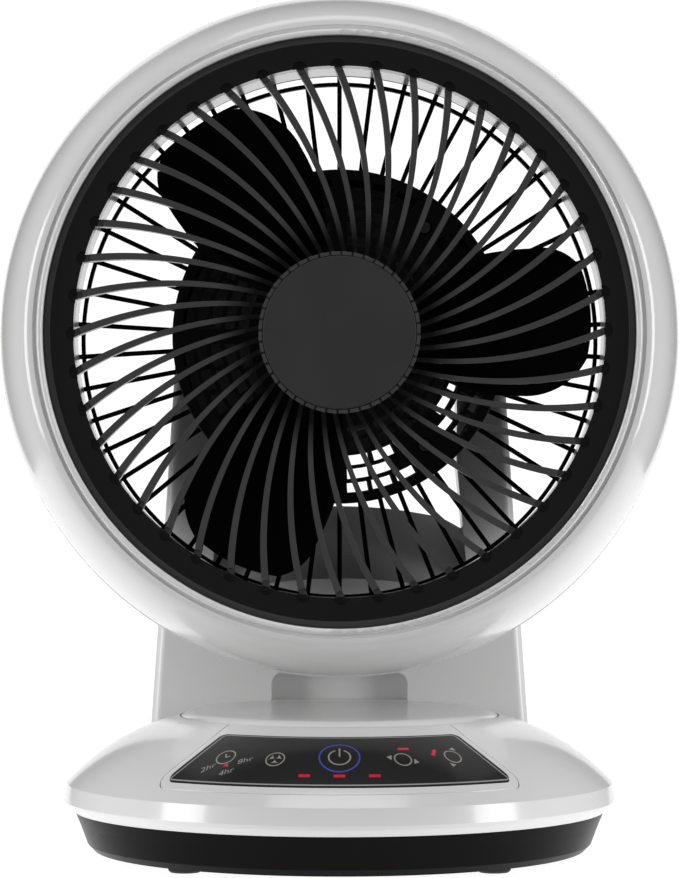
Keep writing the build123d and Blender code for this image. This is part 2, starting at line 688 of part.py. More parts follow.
def make_turntable():
    bottom = DECK_Z + TURNTABLE_GAP
    crown = base_turned(outline(
        Line((SPINDLE_BORE_R, bottom), (TURNTABLE_R - 0.6, bottom)),
        Line((TURNTABLE_R - 0.6, bottom), (TURNTABLE_R, bottom + 0.6)),
        Line((TURNTABLE_R, bottom + 0.6), (TURNTABLE_R, TURNTABLE_EDGE_Z)),
        ThreePointArc((TURNTABLE_R, TURNTABLE_EDGE_Z), (TURNTABLE_R - 2.4, TURNTABLE_TOP - 0.5),
                      (TURNTABLE_R - 7, TURNTABLE_TOP)),
        Line((TURNTABLE_R - 7, TURNTABLE_TOP), (0, TURNTABLE_TOP)),
        Line((0, TURNTABLE_TOP), (0, TURNTABLE_TOP - WALL)),
        Line((0, TURNTABLE_TOP - WALL), (SPINDLE_BORE_R, TURNTABLE_TOP - WALL)),
        Line((SPINDLE_BORE_R, TURNTABLE_TOP - WALL), (SPINDLE_BORE_R, bottom))))
    middle_y = (FOOT_BLOCK_BACK + ARM_FRONT_Y - 6) / 2
    block = upright(Pos(0, middle_y) * Rectangle(2 * FOOT_BLOCK_X, FOOT_BLOCK_BACK - ARM_FRONT_Y + 6),
                    DECK_Z - 16, TURNTABLE_TOP)
    block &= behind(ARM_FRONT_Y + WALL + SEAT_GAP) + upright(Circle(TURNTABLE_R - 7), 0, BEYOND)
    tongue_x = ARCH_HALF - 0.4
    tongue = upright(Pos(0, ARM_FRONT_Y + 1) * Rectangle(2 * tongue_x, 12), DECK_Z - 6, TURNTABLE_TOP)
    solid = crown + (block & clear_of_dome(1.0)) + (tongue & clear_of_dome(1.0))
    for place in turntable_screw_places():
        solid -= upright(place * Circle(SCREW_R), DECK_Z - 4, TURNTABLE_TOP + 1)
    return solid


def behind(y):
    """Everything behind an upright plane."""
    return Pos(0, y, 0) * Box(BEYOND, BEYOND, BEYOND, align=(Align.CENTER, Align.MIN, Align.CENTER))


def clear_of_dome(gap):
    """Everything above a surface this far over the deck and dome."""
    start = DOME_TOP_R - 0.6
    return base_turned(outline(
        Polyline((0, BEYOND), (0, DECK_Z + TURNTABLE_GAP), (start, DECK_Z + TURNTABLE_GAP),
                 (start, dome_z(start, -gap))),
        dome_arc(start, DOME_FOOT_R, -gap),
        Polyline((DOME_FOOT_R, dome_z(DOME_FOOT_R, -gap)), (DOME_FOOT_R, BEYOND), (0, BEYOND))))


def turntable_screw_places():
    return [Pos(side * FOOT_SCREW_X, FOOT_SCREW_Y) for side in (-1, 1)]


# ==== Yoke =======================================================================
def yoke_side(inset):
    """Side view of an arm, in (y, z), drawn inside the outer one by inset."""
    eye = EYE_R - inset
    lean = atan((ARM_FRONT_Y - TILT_Y + EYE_R) / (HEAD_Z - ARM_KNEE_Z))
    front = (TILT_Y - eye * cos(lean), HEAD_Z - eye * sin(lean))
    back = (TILT_Y + eye * cos(2 * lean), HEAD_Z + eye * sin(2 * lean))
    waist = (YOKE_WAIST_Y - 6 - inset, SCOOP_BACK_Z)
    bowed = ((back[0] + waist[0]) / 2 + 1.5, (back[1] + waist[1]) / 2)
    return outline(
        Line((ARM_FRONT_Y + inset, YOKE_LOW_Z), (ARM_FRONT_Y + inset, ARM_KNEE_Z)),
        Line((ARM_FRONT_Y + inset, ARM_KNEE_Z), front),
        ThreePointArc(front, (TILT_Y - eye * 0.5, HEAD_Z + eye * sqrt(0.75)), back),
        ThreePointArc(back, bowed, waist),
        Line(waist, (YOKE_BACK_Y - inset, ARM_FOOT_Z)),
        Line((YOKE_BACK_Y - inset, ARM_FOOT_Z), (YOKE_BACK_Y - inset, YOKE_LOW_Z)),
        Line((YOKE_BACK_Y - inset, YOKE_LOW_Z), (ARM_FRONT_Y + inset, YOKE_LOW_Z)))


def bowed_back(inset):
    """Everything in front of the yoke's back, which bows round the base in plan."""
    middle_y = YOKE_BACK_Y - YOKE_BOW
    low = YOKE_BOW - inset
    high = low - (YOKE_BACK_Y - YOKE_WAIST_Y)
    profile = outline(Polyline((0, 0), (low, 0), (low, YOKE_LOW_Z), (high, SCOOP_BACK_Z),
                               (high, BEYOND), (0, BEYOND), (0, 0)))
    return revolve(front_plane(middle_y) * profile, Axis((0, middle_y, 0), (0, 0, 1)))


def arm_x(z, inset=0.0):
    """Outer half width of the yoke at a height."""
    slope = (ARM_TOP_X - ARM_FOOT_X) / (HEAD_Z - ARM_FOOT_Z)
    return ARM_FOOT_X + slope * (z - ARM_FOOT_Z) - inset


def yoke_front_view(inset):
    """Front view of the whole yoke, in (x, z): a tall shape that narrows upward."""
    high = HEAD_Z + EYE_R + 2
    foot_x, top_x = arm_x(YOKE_LOW_Z, inset), arm_x(high, inset)
    return outline(Polyline((foot_x, YOKE_LOW_Z), (top_x, high), (-top_x, high), (-foot_x, YOKE_LOW_Z),
                            (foot_x, YOKE_LOW_Z)))


def fork_gap(inset):
    """Space between the arms, above the wall. A positive inset makes it larger."""
    foot_x = ARM_IN_FOOT_X + inset
    top_x = ARM_IN_TOP_X + inset
    gap = outline(Polyline(
        (foot_x, ARM_IN_FOOT_Z - 30), (foot_x, ARM_IN_FOOT_Z), (top_x, ARM_IN_TOP_Z),
        (top_x, HEAD_Z + 40), (-top_x, HEAD_Z + 40), (-top_x, ARM_IN_TOP_Z),
        (-foot_x, ARM_IN_FOOT_Z), (-foot_x, ARM_IN_FOOT_Z - 30), (foot_x, ARM_IN_FOOT_Z - 30)))
    column = extrude(front_plane(BEYOND) * gap, BEYOND)
    slope = (SCOOP_BACK_Z - SCOOP_FOOT_Z) / (SCOOP_BACK_Y - ARM_FRONT_Y)
    side_x = ARM_IN_FOOT_X + 4
    drop = inset * sqrt(1 + slope ** 2)

    def scoop_section(top):
        middle = top - drop
        return outline(
            ThreePointArc((-side_x, middle - 2 * SCOOP_DIP), (0, middle), (side_x, middle - 2 * SCOOP_DIP)),
            Polyline((side_x, middle - 2 * SCOOP_DIP), (side_x, HEAD_Z + 60), (-side_x, HEAD_Z + 60),
                     (-side_x, middle - 2 * SCOOP_DIP)))

    start_y, end_y = ARM_FRONT_Y - 30, SCOOP_BACK_Y - inset
    front = scoop_section(SCOOP_FOOT_Z + slope * (start_y - ARM_FRONT_Y))
    back = scoop_section(SCOOP_BACK_Z - slope * inset)
    sloping = loft([front_plane(start_y) * front, front_plane(end_y) * back], ruled=True)
    level = extrude(front_plane(BEYOND) * back, BEYOND - end_y)
    return column & (sloping + level)


def yoke_block(inset):
    side = extrude(Plane.YZ * yoke_side(inset), BEYOND, both=True)
    return side & extrude(front_plane(BEYOND) * yoke_front_view(inset), BEYOND)


def yoke_volume(inset):
    plan = upright(Circle(YOKE_ROUND_R - inset), 0, BEYOND)
    return yoke_block(inset) & plan & bowed_back(inset)


def is_outer_edge(edge):
    middle = edge @ 0.5
    on_side = abs(abs(middle.X) - arm_x(middle.Z)) < 0.3
    return on_side and edge.bounding_box().size.X < 10 and edge.bounding_box().size.Z > 1


def is_fork_edge(edge):
    """An edge of an arm's inner face, above the wall."""
    box = edge.bounding_box()
    return box.min.Z > ARM_IN_TOP_Z - 1 and abs((edge @ 0.5).X) < ARM_IN_TOP_X + 1 and box.size.Z > 8


def rounded_yoke():
    """Outer shape of the yoke with its edges rounded and the fork cut in."""
    block = yoke_block(0)
    block = fillet([edge for edge in block.edges() if is_outer_edge(edge)], YOKE_EDGE)
    forked = (block & upright(Circle(YOKE_ROUND_R), 0, BEYOND) & bowed_back(0)) - fork_gap(0)
    return fillet([edge for edge in forked.edges() if is_fork_edge(edge)], FORK_EDGE)


def arch_pocket(inset):
    """Arched recess at the foot of the front wall. A positive inset makes it larger."""
    shape = Pos(0, (ARCH_TOP_Z + TURNTABLE_TOP) / 2 - 10) * RectangleRounded(
        2 * (ARCH_HALF + inset), ARCH_TOP_Z - TURNTABLE_TOP + 20 + 2 * inset, ARCH_CORNER)
    return extrude(front_plane(ARM_FRONT_Y + ARCH_DEPTH + inset) * shape, ARCH_DEPTH + inset + 4)


def split_plane(shift):
    """Leaning plane through the tilt axis that parts the front and rear shells."""
    lean = Vector(0, SPLIT_TOP_Y - SPLIT_FOOT_Y, HEAD_Z - SPLIT_FOOT_Z)
    normal = lean.cross(Vector(1, 0, 0)).normalized()
    return Plane(origin=Vector(0, SPLIT_TOP_Y, HEAD_Z) - normal * shift, x_dir=(1, 0, 0), z_dir=normal)


def make_yoke_body():
    """Hollow yoke before it is parted, open below over the turntable's foot."""
    running_space = clear_of_dome(YOKE_LIFT)
    block_y = (ARM_FRONT_Y + WALL + FOOT_BLOCK_BACK) / 2
    block = Pos(0, block_y) * Rectangle(2 * FOOT_BLOCK_X + 0.4, FOOT_BLOCK_BACK - ARM_FRONT_Y - WALL + 0.4)
    under = upright(Circle(TURNTABLE_R + 0.2) + block, 0, TURNTABLE_TOP + 0.02)
    outer = (rounded_yoke() & running_space) - under - arch_pocket(0)
    inner = yoke_volume(WALL) - fork_gap(WALL) - arch_pocket(WALL)
    body = outer - inner
    for side in (-1, 1):
        outer_x = side * (ARM_IN_TOP_X + WALL + 3)
        body += cross_disc(Circle(BUSH_HOLE_R + 2.2), *sorted((side * ARM_IN_TOP_X, outer_x)))
        body -= cross_disc(Circle(BUSH_HOLE_R), *sorted((side * (ARM_IN_TOP_X - 2), outer_x + side)))
    return body


BUSH_HOLE_R = TRUNNION_R + RUN_FIT + 2.0


def yoke_screw_places():
    """Screw axes that run forward through the rear shell, as (x, z)."""
    return [(side * arm_x(z, YOKE_SCREW_X), z) for side in (-1, 1) for z in YOKE_SCREW_Z]


def make_yoke_shells():
    body = make_yoke_body()
    front = split(body, bisect_by=split_plane(SEAM / 2), keep=Keep.BOTTOM)
    rear = split(body, bisect_by=split_plane(-SEAM / 2), keep=Keep.TOP)
    cavity = yoke_volume(WALL / 2) - fork_gap(WALL / 2)
    for x, z in yoke_screw_places():
        axis = Plane(origin=(x, YOKE_BACK_Y + 10, z), x_dir=(1, 0, 0), z_dir=(0, -1, 0))
        post = extrude(axis * Circle(BOSS_R), BEYOND) & cavity
        pilot = extrude(axis * Circle(SCREW_R), BEYOND)
        front += split(post, bisect_by=split_plane(SEAM / 2), keep=Keep.BOTTOM) - pilot
        rear += split(post, bisect_by=split_plane(-SEAM / 2), keep=Keep.TOP)
        rear -= extrude(axis * Circle(SCREW_R + 0.2), BEYOND)
        rear -= extrude(axis * Circle(SCREW_HEAD_R + 0.3), 10 + YOKE_BACK_Y - screw_seat_y(z))
    tabs = []
    for side in (-1, 1):
        tab = Pos(side * (FOOT_SCREW_X + 4), FOOT_SCREW_Y + 4.5) * Rectangle(24, 24)
        tabs.append(upright(tab, TURNTABLE_TOP + 0.02, TURNTABLE_TOP + 3))
    return front, rear, tabs


def screw_seat_y(z):
    """Depth of the screw heads' seats at a height on the sloping back."""
    return split_y(z) + 8.0


def split_y(z):
    share = (HEAD_Z - z) / (HEAD_Z - SPLIT_FOOT_Z)
    return SPLIT_TOP_Y + share * (SPLIT_FOOT_Y - SPLIT_TOP_Y)


def make_yoke_front(front, tabs):
    cavity = yoke_volume(WALL / 2) - fork_gap(WALL / 2) - arch_pocket(WALL / 2)
    for tab in tabs:
        kept = split(tab & cavity, bisect_by=split_plane(SEAM / 2), keep=Keep.BOTTOM)
        front += kept
    for place in turntable_screw_places():
        front -= upright(place * Circle(SCREW_R + 0.2), TURNTABLE_TOP - 1, TURNTABLE_TOP + 5)
    return front


def make_turntable_screws():
    turned = Pos(0, 0, TURNTABLE_TOP + 3) * Rot(180, 0, 0) * screw(6, body_r=SCREW_R - 0.02)
    return group([place * turned for place in turntable_screw_places()])


def make_yoke_screws():
    pieces = []
    for x, z in yoke_screw_places():
        at = Plane(origin=(x, screw_seat_y(z), z), x_dir=(1, 0, 0), z_dir=(0, -1, 0))
        pieces.append(at * screw(14, body_r=SCREW_R - 0.02))
    return group(pieces)


# ==== Tilt drive =================================================================
TILT_CENTRE = centre_distance(TILT_TEETH, TILT_PINION_TEETH)
TILT_MOTOR_X = ARM_IN_TOP_X + WALL + 0.3


def make_tilt_bush(side):
    inner = TRUNNION_R + RUN_FIT
    body = cross_disc(ring(BUSH_HOLE_R - 0.02, inner),
                      *sorted((side * (ARM_IN_TOP_X - 0.7), side * (ARM_IN_TOP_X + WALL + 3))))
    flange = cross_disc(ring(TRUNNION_FLANGE_R, inner),
                        *sorted((side * (ARM_IN_TOP_X - 0.7), side * (ARM_IN_TOP_X - 0.02))))
    return body + flange


def make_tilt_motor():
    start = TILT_MOTOR_X
    stop = start + TILT_MOTOR_LENGTH
    middle = Pos(TILT_MOTOR_BACK, -TILT_CENTRE - TILT_MOTOR_DROP)
    can = cross_disc(middle * Circle(TILT_MOTOR_R), start, stop)
    can = chamfer(can.edges().group_by(Axis.X)[-1], 0.6)
    boss = cross_disc(Pos(0, -TILT_CENTRE) * Circle(3.5), stop - 1, stop + 0.6)
    shaft = cross_disc(Pos(0, -TILT_CENTRE) * Circle(TILT_SHAFT_R), stop, TILT_GEAR_X + TILT_GEAR_WIDTH)
    return can + boss + shaft


def make_tilt_pinion():
    blank = Rot(0, 0, 90 + 180 / TILT_PINION_TEETH) * gear_outline(TILT_PINION_TEETH)
    blank = Pos(0, -TILT_CENTRE) * (blank - Circle(TILT_SHAFT_R + RUN_FIT))
    return cross_disc(blank, TILT_GEAR_X + 0.2, TILT_GEAR_X + TILT_GEAR_WIDTH)


def make_tilt_gear():
    blank = Rot(0, 0, 270) * gear_outline(TILT_TEETH) - Circle(GEAR_SEAT_R + 0.02)
    return cross_disc(blank, TILT_GEAR_X, TILT_GEAR_X + TILT_GEAR_WIDTH)


def make_trunnion(side, reach):
    pad = HOUSING_R + 0.4
    flange = cross_disc(Circle(TRUNNION_FLANGE_R), *sorted((side * pad, side * (pad + TRUNNION_FLANGE))))
    journal = cross_disc(Circle(TRUNNION_R), *sorted((side * (pad + 1), side * (TILT_GEAR_X - 0.4))))
    pin = flange + journal
    if reach:
        pin += cross_disc(Circle(GEAR_SEAT_R), *sorted((side * (TILT_GEAR_X - 1), side * reach)))
    return pin - cross_disc(Circle(2.5), *sorted((side * (pad - 1), side * (TILT_GEAR_X + 8))))


# ==== Head shells ================================================================
def skin_arc(inset):
    """Quarter ellipse of the front shell's skin, in (radius, y)."""
    width = SKIN_R - GROOVE_OUT_R - inset
    depth = HEAD_RIM_Y - FACE_Y - 1.0 - inset
    return EllipticalCenterArc((GROOVE_OUT_R, HEAD_RIM_Y), width, depth, start_angle=270, arc_size=90)


def make_front_shell():
    skin_inner = SKIN_R - WALL
    groove = FACE_Y + GROOVE_DEPTH
    lip_mid = (LIP_IN_R + LIP_OUT_R) / 2
    seat_back = GRILLE_SEAT_Y + WALL - 0.2
    skin_start = FACE_Y + 1.0
    shell = fan_turned(outline(
        Polyline((DUCT_R + WALL, DUCT_BACK_Y), (DUCT_R, DUCT_BACK_Y), (DUCT_R, GRILLE_SEAT_Y),
                 (LIP_IN_R, GRILLE_SEAT_Y), (LIP_IN_R, FACE_Y + 0.8)),
        ThreePointArc((LIP_IN_R, FACE_Y + 0.8), (lip_mid, FACE_Y), (LIP_OUT_R, FACE_Y + 0.8)),
        Polyline((LIP_OUT_R, FACE_Y + 0.8), (LIP_OUT_R + 0.2, groove), (GROOVE_OUT_R, groove),
                 (GROOVE_OUT_R, skin_start)),
        skin_arc(0),
        Line((SKIN_R, HEAD_RIM_Y), (skin_inner, HEAD_RIM_Y)),
        skin_arc(WALL),
        Polyline((GROOVE_OUT_R, skin_start + WALL), (LIP_IN_R + WALL, seat_back),
                 (DUCT_R + WALL, seat_back), (DUCT_R + WALL, DUCT_BACK_Y))))
    inside = fan_turned(outline(
        skin_arc(WALL / 2), Polyline((SKIN_R - WALL / 2, HEAD_RIM_Y), (DUCT_R, HEAD_RIM_Y),
                                     (DUCT_R, skin_start + WALL / 2),
                                     (GROOVE_OUT_R, skin_start + WALL / 2))))
    for angle in SHELL_SCREW_ANGLES:
        spot = Rot(0, 0, angle) * Pos(SHELL_SCREW_CIRCLE, 0)
        rib = Rot(0, 0, angle) * Pos(SHELL_SCREW_CIRCLE + 6, 0) * Rectangle(12, 2.4)
        post = fan_disc(spot * Circle(BOSS_R) + rib, HEAD_RIM_Y - 16, HEAD_RIM_Y)
        shell += post & inside
        shell -= fan_disc(spot * Circle(SCREW_R), HEAD_RIM_Y - 13, HEAD_RIM_Y + 1)
    return shell


def make_rear_shell():
    front = HEAD_RIM_Y + SEAM
    corner = (HEAD_RIM_R - 9, HEAD_BACK_Y - 3.2)
    shell = fan_turned(outline(
        Polyline((SKIN_R - WALL - 0.4, front), (HEAD_RIM_R, front), (HEAD_RIM_R, HEAD_SHOULDER_Y)),
        ThreePointArc((HEAD_RIM_R, HEAD_SHOULDER_Y), corner, (HEAD_RIM_R - 22, HEAD_BACK_Y)),
        Polyline((HEAD_RIM_R - 22, HEAD_BACK_Y), (BACK_OPEN_R, HEAD_BACK_Y),
                 (BACK_OPEN_R, BACK_LEDGE_Y), (BACK_OPEN_R - 2, BACK_LEDGE_Y),
                 (BACK_OPEN_R - 2, BACK_LEDGE_Y - 2), (BACK_OPEN_R + WALL, BACK_LEDGE_Y - 2),
                 (BACK_OPEN_R + WALL, HEAD_BACK_Y - WALL), (HEAD_RIM_R - 22, HEAD_BACK_Y - WALL)),
        ThreePointArc((HEAD_RIM_R - 22, HEAD_BACK_Y - WALL), (corner[0] - 1.3, corner[1] - WALL),
                      (SKIN_R - WALL - 0.4, front))))
    for angle in SHELL_SCREW_ANGLES:
        spot = Rot(0, 0, angle) * Pos(SHELL_SCREW_CIRCLE, 0)
        shell += fan_disc(spot * Circle(BOSS_R), front, HEAD_BACK_Y - 3.4)
        shell -= fan_disc(spot * Circle(SCREW_HEAD_R + 0.4), SHELL_SCREW_SEAT, HEAD_BACK_Y + 1)
        shell -= fan_disc(spot * Circle(SCREW_R + 0.2), front - 1, HEAD_BACK_Y)
    return shell


BACK_LEDGE_Y = HEAD_BACK_Y - 5.0
SHELL_SCREW_SEAT = HEAD_RIM_Y + 6.0


def fan_screws(circle, angles, seat, length):
    """Screws that point forward, along -Y, their heads behind the seat."""
    pieces = []
    for angle in angles:
        x, z = polar(circle, angle)
        at = Plane(origin=(x, seat, HEAD_Z + z), x_dir=(1, 0, 0), z_dir=(0, -1, 0))
        pieces.append(at * screw(length, body_r=SCREW_R - 0.02))
    return group(pieces)


# ==== Front grille and cap =======================================================
def swirl(radius):
    inward = GRILLE_OPEN_R - radius
    return -(SWIRL_LINEAR * inward + SWIRL_SQUARE * inward ** 2)


def spoke_outline():
    """One swirling spoke, its outer end at angle zero, run into the ring and the hub."""
    radii = (CAP_R - 2, (CAP_R + GRILLE_OPEN_R) / 2, GRILLE_OPEN_R + 2)
    sides = {}
    for side in (-1, 1):
        points = []
        for radius in radii:
            share = (radius - CAP_R) / (GRILLE_OPEN_R - CAP_R)
            width = SPOKE_IN_WIDTH + share * (SPOKE_OUT_WIDTH - SPOKE_IN_WIDTH)
            points.append(polar(radius, swirl(radius) + side * degrees(width / 2 / radius)))
        sides[side] = points
    left, right = sides[-1], sides[1]
    return outline(ThreePointArc(*left), Line(left[-1], right[-1]),
                   ThreePointArc(*right), Line(right[0], left[0]))


def make_front_grille():
    spoke = spoke_outline()
    flat = ring(GRILLE_R, GRILLE_OPEN_R) + Circle(CAP_R)
    flat += [Rot(0, 0, FIRST_SPOKE + index * 360 / SPOKES) * spoke for index in range(SPOKES)]
    blank = fan_disc(flat, GRILLE_FACE_Y, GRILLE_BACK_Y)
    hub_y = GRILLE_FACE_Y + GRILLE_DISH
    dish = fan_turned(outline(
        Line((0, GRILLE_BACK_Y), (0, hub_y + CAP_THICK)),
        Line((0, hub_y + CAP_THICK), (CAP_R - HUB_RIM, hub_y + CAP_THICK)),
        Line((CAP_R - HUB_RIM, hub_y + CAP_THICK), (CAP_R - HUB_RIM, hub_y)),
        Line((CAP_R - HUB_RIM, hub_y), (CAP_R, hub_y)),
        ThreePointArc((CAP_R, hub_y), ((CAP_R + GRILLE_OPEN_R) / 2 + 8.75, hub_y - 0.34 * GRILLE_DISH),
                      (GRILLE_OPEN_R, GRILLE_FACE_Y)),
        Line((GRILLE_OPEN_R, GRILLE_FACE_Y), (GRILLE_FLAT_R, GRILLE_FACE_Y)),
        Line((GRILLE_FLAT_R, GRILLE_FACE_Y), (GRILLE_R, GRILLE_FACE_Y + 1.6)),
        Line((GRILLE_R, GRILLE_FACE_Y + 1.6), (GRILLE_R, GRILLE_SEAT_Y - SEAT_GAP)),
        Line((GRILLE_R, GRILLE_SEAT_Y - SEAT_GAP), (DUCT_R - 0.5, GRILLE_SEAT_Y - SEAT_GAP)),
        Line((DUCT_R - 0.5, GRILLE_SEAT_Y - SEAT_GAP), (DUCT_R - 0.5, GRILLE_BACK_Y)),
        Line((DUCT_R - 0.5, GRILLE_BACK_Y), (0, GRILLE_BACK_Y))))
    pocket = Pos(GRILLE_OPEN_R, 0) * Circle(POCKET_R)
    notch = Rot(0, 0, swirl(CAP_R) + NOTCH_TURN) * Pos(CAP_R, 0) * Rectangle(2 * HUB_RIM + 1, NOTCH_WIDTH)
    turns = [Rot(0, 0, FIRST_SPOKE + index * 360 / SPOKES) for index in range(SPOKES)]
    pockets = Sketch() + [turn * pocket for turn in turns]
    notches = Sketch() + [turn * notch for turn in turns]
    grille = (blank & dish) - fan_disc(pockets, GRILLE_FACE_Y - 1, GRILLE_FACE_Y + POCKET_DEPTH)
    return grille - fan_disc(notches, hub_y - 1, hub_y + NOTCH_DEPTH)


def make_grille_cap():
    hub_y = GRILLE_FACE_Y + GRILLE_DISH
    radius = CAP_R - HUB_RIM - SEAM
    cap = fan_disc(Circle(radius), hub_y - 0.3, hub_y + CAP_THICK - 0.02)
    return chamfer(cap.edges().group_by(Axis.Y)[0], 0.35)


# ==== Impeller ===================================================================
def blade_section(radius):
    """Cambered slice of a blade at a radius along +X, concave to the front."""
    pitch = atan(BLADE_LEAD / radius)
    plane = Plane(origin=(radius, BLADE_MID_Y, HEAD_Z), x_dir=(0, -sin(pitch), cos(pitch)),
                  z_dir=(1, 0, 0))
    half = BLADE_TIP_R * 0.522
    bow = -2 * BLADE_CAMBER
    low, high = -BLADE_THICK / 2 - bow / 3, BLADE_THICK / 2 - bow / 3
    return plane * outline(
        ThreePointArc((-half, low - bow), (0, low + bow / 3), (half, low - bow)),
        Line((half, low - bow), (half, high - bow)),
        ThreePointArc((half, high - bow), (0, high + bow / 3), (-half, high - bow)),
        Line((-half, high - bow), (-half, low - bow)))


def blade_plan():
    """Front view of a blade about angle zero: swept edges and a round tip."""
    hub = HUB_R - 3
    tip = BLADE_TIP_R
    return outline(
        ThreePointArc(polar(hub, -22), polar((hub + tip) / 2 - 7.8, -27.8), polar(tip - 23.6, -23.5)),
        ThreePointArc(polar(tip - 23.6, -23.5), polar(tip - 8.6, -17.5), polar(tip - 1.2, -10.5)),
        ThreePointArc(polar(tip - 1.2, -10.5), polar(tip, 0), polar(tip - 1.2, 10.5)),
        ThreePointArc(polar(tip - 1.2, 10.5), polar(tip - 6.6, 15.2), polar(tip - 16.6, 18.7)),
        ThreePointArc(polar(tip - 16.6, 18.7), polar((hub + tip) / 2 - 0.8, 24.6), polar(hub, 38)),
        Line(polar(hub, 38), polar(hub, -22)))


def make_fan_blade():
    reach = BLADE_TIP_R + 6.4 - (HUB_R - 9)
    slab = loft([blade_section(HUB_R - 9 + share * reach) for share in (0, 0.23, 0.49, 0.744, 1)])
    blade = slab & fan_disc(blade_plan(), HUB_FRONT_Y, HUB_BACK_Y)
    hub = fan_turned(outline(
        Polyline((SHAFT_R + 0.02, HUB_BACK_Y + 1), (SHAFT_R + 0.02, HUB_FRONT_Y + NUT_LENGTH + 1),
                 (NUT_R + 2, HUB_FRONT_Y + NUT_LENGTH + 1), (NUT_R + 2, HUB_FRONT_Y + 1),
                 (HUB_R - 3, HUB_FRONT_Y), (HUB_R, HUB_FRONT_Y + 3), (HUB_R, HUB_BACK_Y),
                 (HUB_R - WALL, HUB_BACK_Y), (HUB_R - WALL, HUB_FRONT_Y + NUT_LENGTH + 3),
                 (SHAFT_R + 5, HUB_FRONT_Y + NUT_LENGTH + 3), (SHAFT_R + 5, HUB_BACK_Y + 1),
                 (SHAFT_R + 0.02, HUB_BACK_Y + 1))))
    core = fan_turned(Pos(HUB_R / 2 - 1, (HUB_FRONT_Y + HUB_BACK_Y) / 2) *
                      Rectangle(HUB_R - 2, HUB_BACK_Y - HUB_FRONT_Y + 6))
    impeller = hub
    for angle in BLADE_ANGLES:
        impeller += (blade - core).rotate(FAN_AXIS, -angle)
    return impeller


def make_blade_nut():
    front = HUB_FRONT_Y + 1.2
    nut = fan_disc(Circle(NUT_R) - Circle(SHAFT_R - 1 + 0.02), front, front + NUT_LENGTH - 0.22)
    grips = [Rot(0, 0, step * 60) * Pos(NUT_R + 1, 0) * Circle(1.8) for step in range(6)]
    return nut - fan_disc(Sketch() + grips, front - 1, front + NUT_LENGTH + 1)


def make_motor_shaft():
    thread_end = HUB_FRONT_Y + NUT_LENGTH + 1
    body = fan_disc(Circle(SHAFT_R), thread_end, PLATE_Y - 0.6)
    stud = fan_disc(Circle(SHAFT_R - 1), HUB_FRONT_Y + 2.5, thread_end)
    return body + stud


# ==== Motor ======================================================================
STATOR_BACK_Y = STATOR_FRONT_Y + STATOR_LENGTH


def make_motor_stator():
    teeth = ring(STATOR_R, ROTOR_R + 0.4)
    slot = Pos(ROTOR_R + 6, 0) * SlotCenterToCenter(6, 5)
    slots = [Rot(0, 0, 30 + step * 60) * slot for step in range(6)]
    return fan_disc(teeth - slots, STATOR_FRONT_Y, STATOR_BACK_Y)


def make_motor_windings():
    """Copper end turns, a bundle at each end of every stator slot."""
    bundle = Rot(0, 0, 90) * SlotCenterToCenter(9, 5)
    pieces = []
    for front, back in ((STATOR_FRONT_Y - 4.4, STATOR_FRONT_Y), (STATOR_BACK_Y, STATOR_BACK_Y + 4.4)):
        for step in range(6):
            place = Rot(0, 0, step * 60) * Pos(ROTOR_R + 7.5, 0) * bundle
            pieces.append(fan_disc(place, front, back))
    return group(pieces)


def bell_profile(direction, face):
    """Cast end bell over one end of the stator, open towards it."""
    end = face + direction * BELL_DEPTH
    outer, inner = STATOR_R, STATOR_R - WALL
    pocket = BEARING_R + 0.02
    floor = end - direction * BEARING_LENGTH
    return outline(Polyline(
        (inner, face), (outer, face), (outer, end - direction * 2), (outer - 3, end), (pocket, end),
        (pocket, floor - direction), (pocket + WALL, floor - direction), (pocket + WALL, end - direction * 2),
        (inner, end - direction * 2), (inner, face)))


def make_bell_front():
    return fan_turned(bell_profile(-1, STATOR_FRONT_Y))


def make_bell_rear():
    return fan_turned(bell_profile(1, STATOR_BACK_Y))


def make_motor_bearings():
    front = STATOR_FRONT_Y - BELL_DEPTH
    back = STATOR_BACK_Y + BELL_DEPTH
    race = ring(BEARING_R, SHAFT_R + RUN_FIT)
    return group([fan_disc(race, front, front + BEARING_LENGTH),
                  fan_disc(race, back - BEARING_LENGTH, back)])


def make_rotor_core():
    bars = [Rot(0, 0, step * 20) * Pos(ROTOR_R - 2.6, 0) * Circle(1.0) for step in range(18)]
    return fan_disc(ring(ROTOR_R, SHAFT_R + 0.02) - bars, STATOR_FRONT_Y, STATOR_BACK_Y)


# ==== Vented housing and rear grille =============================================
def vent_slots(radii, quarters=range(4)):
    """Short slots in rings, parted by four wide ribs and clear of the screw bosses."""
    slots = []
    for radius in radii:
        rib = degrees(MAIN_RIB / radius)
        span = 90 - rib
        count = round(radians(span) * radius / 10.2)
        pitch = span / count
        gap = degrees(VENT_RIB / radius) / 2
        for quarter in quarters:
            for index in range(count):
                start = quarter * 90 + rib / 2 + index * pitch
                middle = (start + pitch / 2) % 360
                near_screw = [a for a in COVER_SCREW_ANGLES
                              if hypot(*(u - v for u, v in zip(polar(radius, middle),
                                                               polar(COVER_SCREW_CIRCLE, a)))) < 9.5]
                if not near_screw:
                    slots.append(sector(radius - VENT_HEIGHT / 2, radius + VENT_HEIGHT / 2,
                                        start + gap, start + pitch - gap))
    return slots


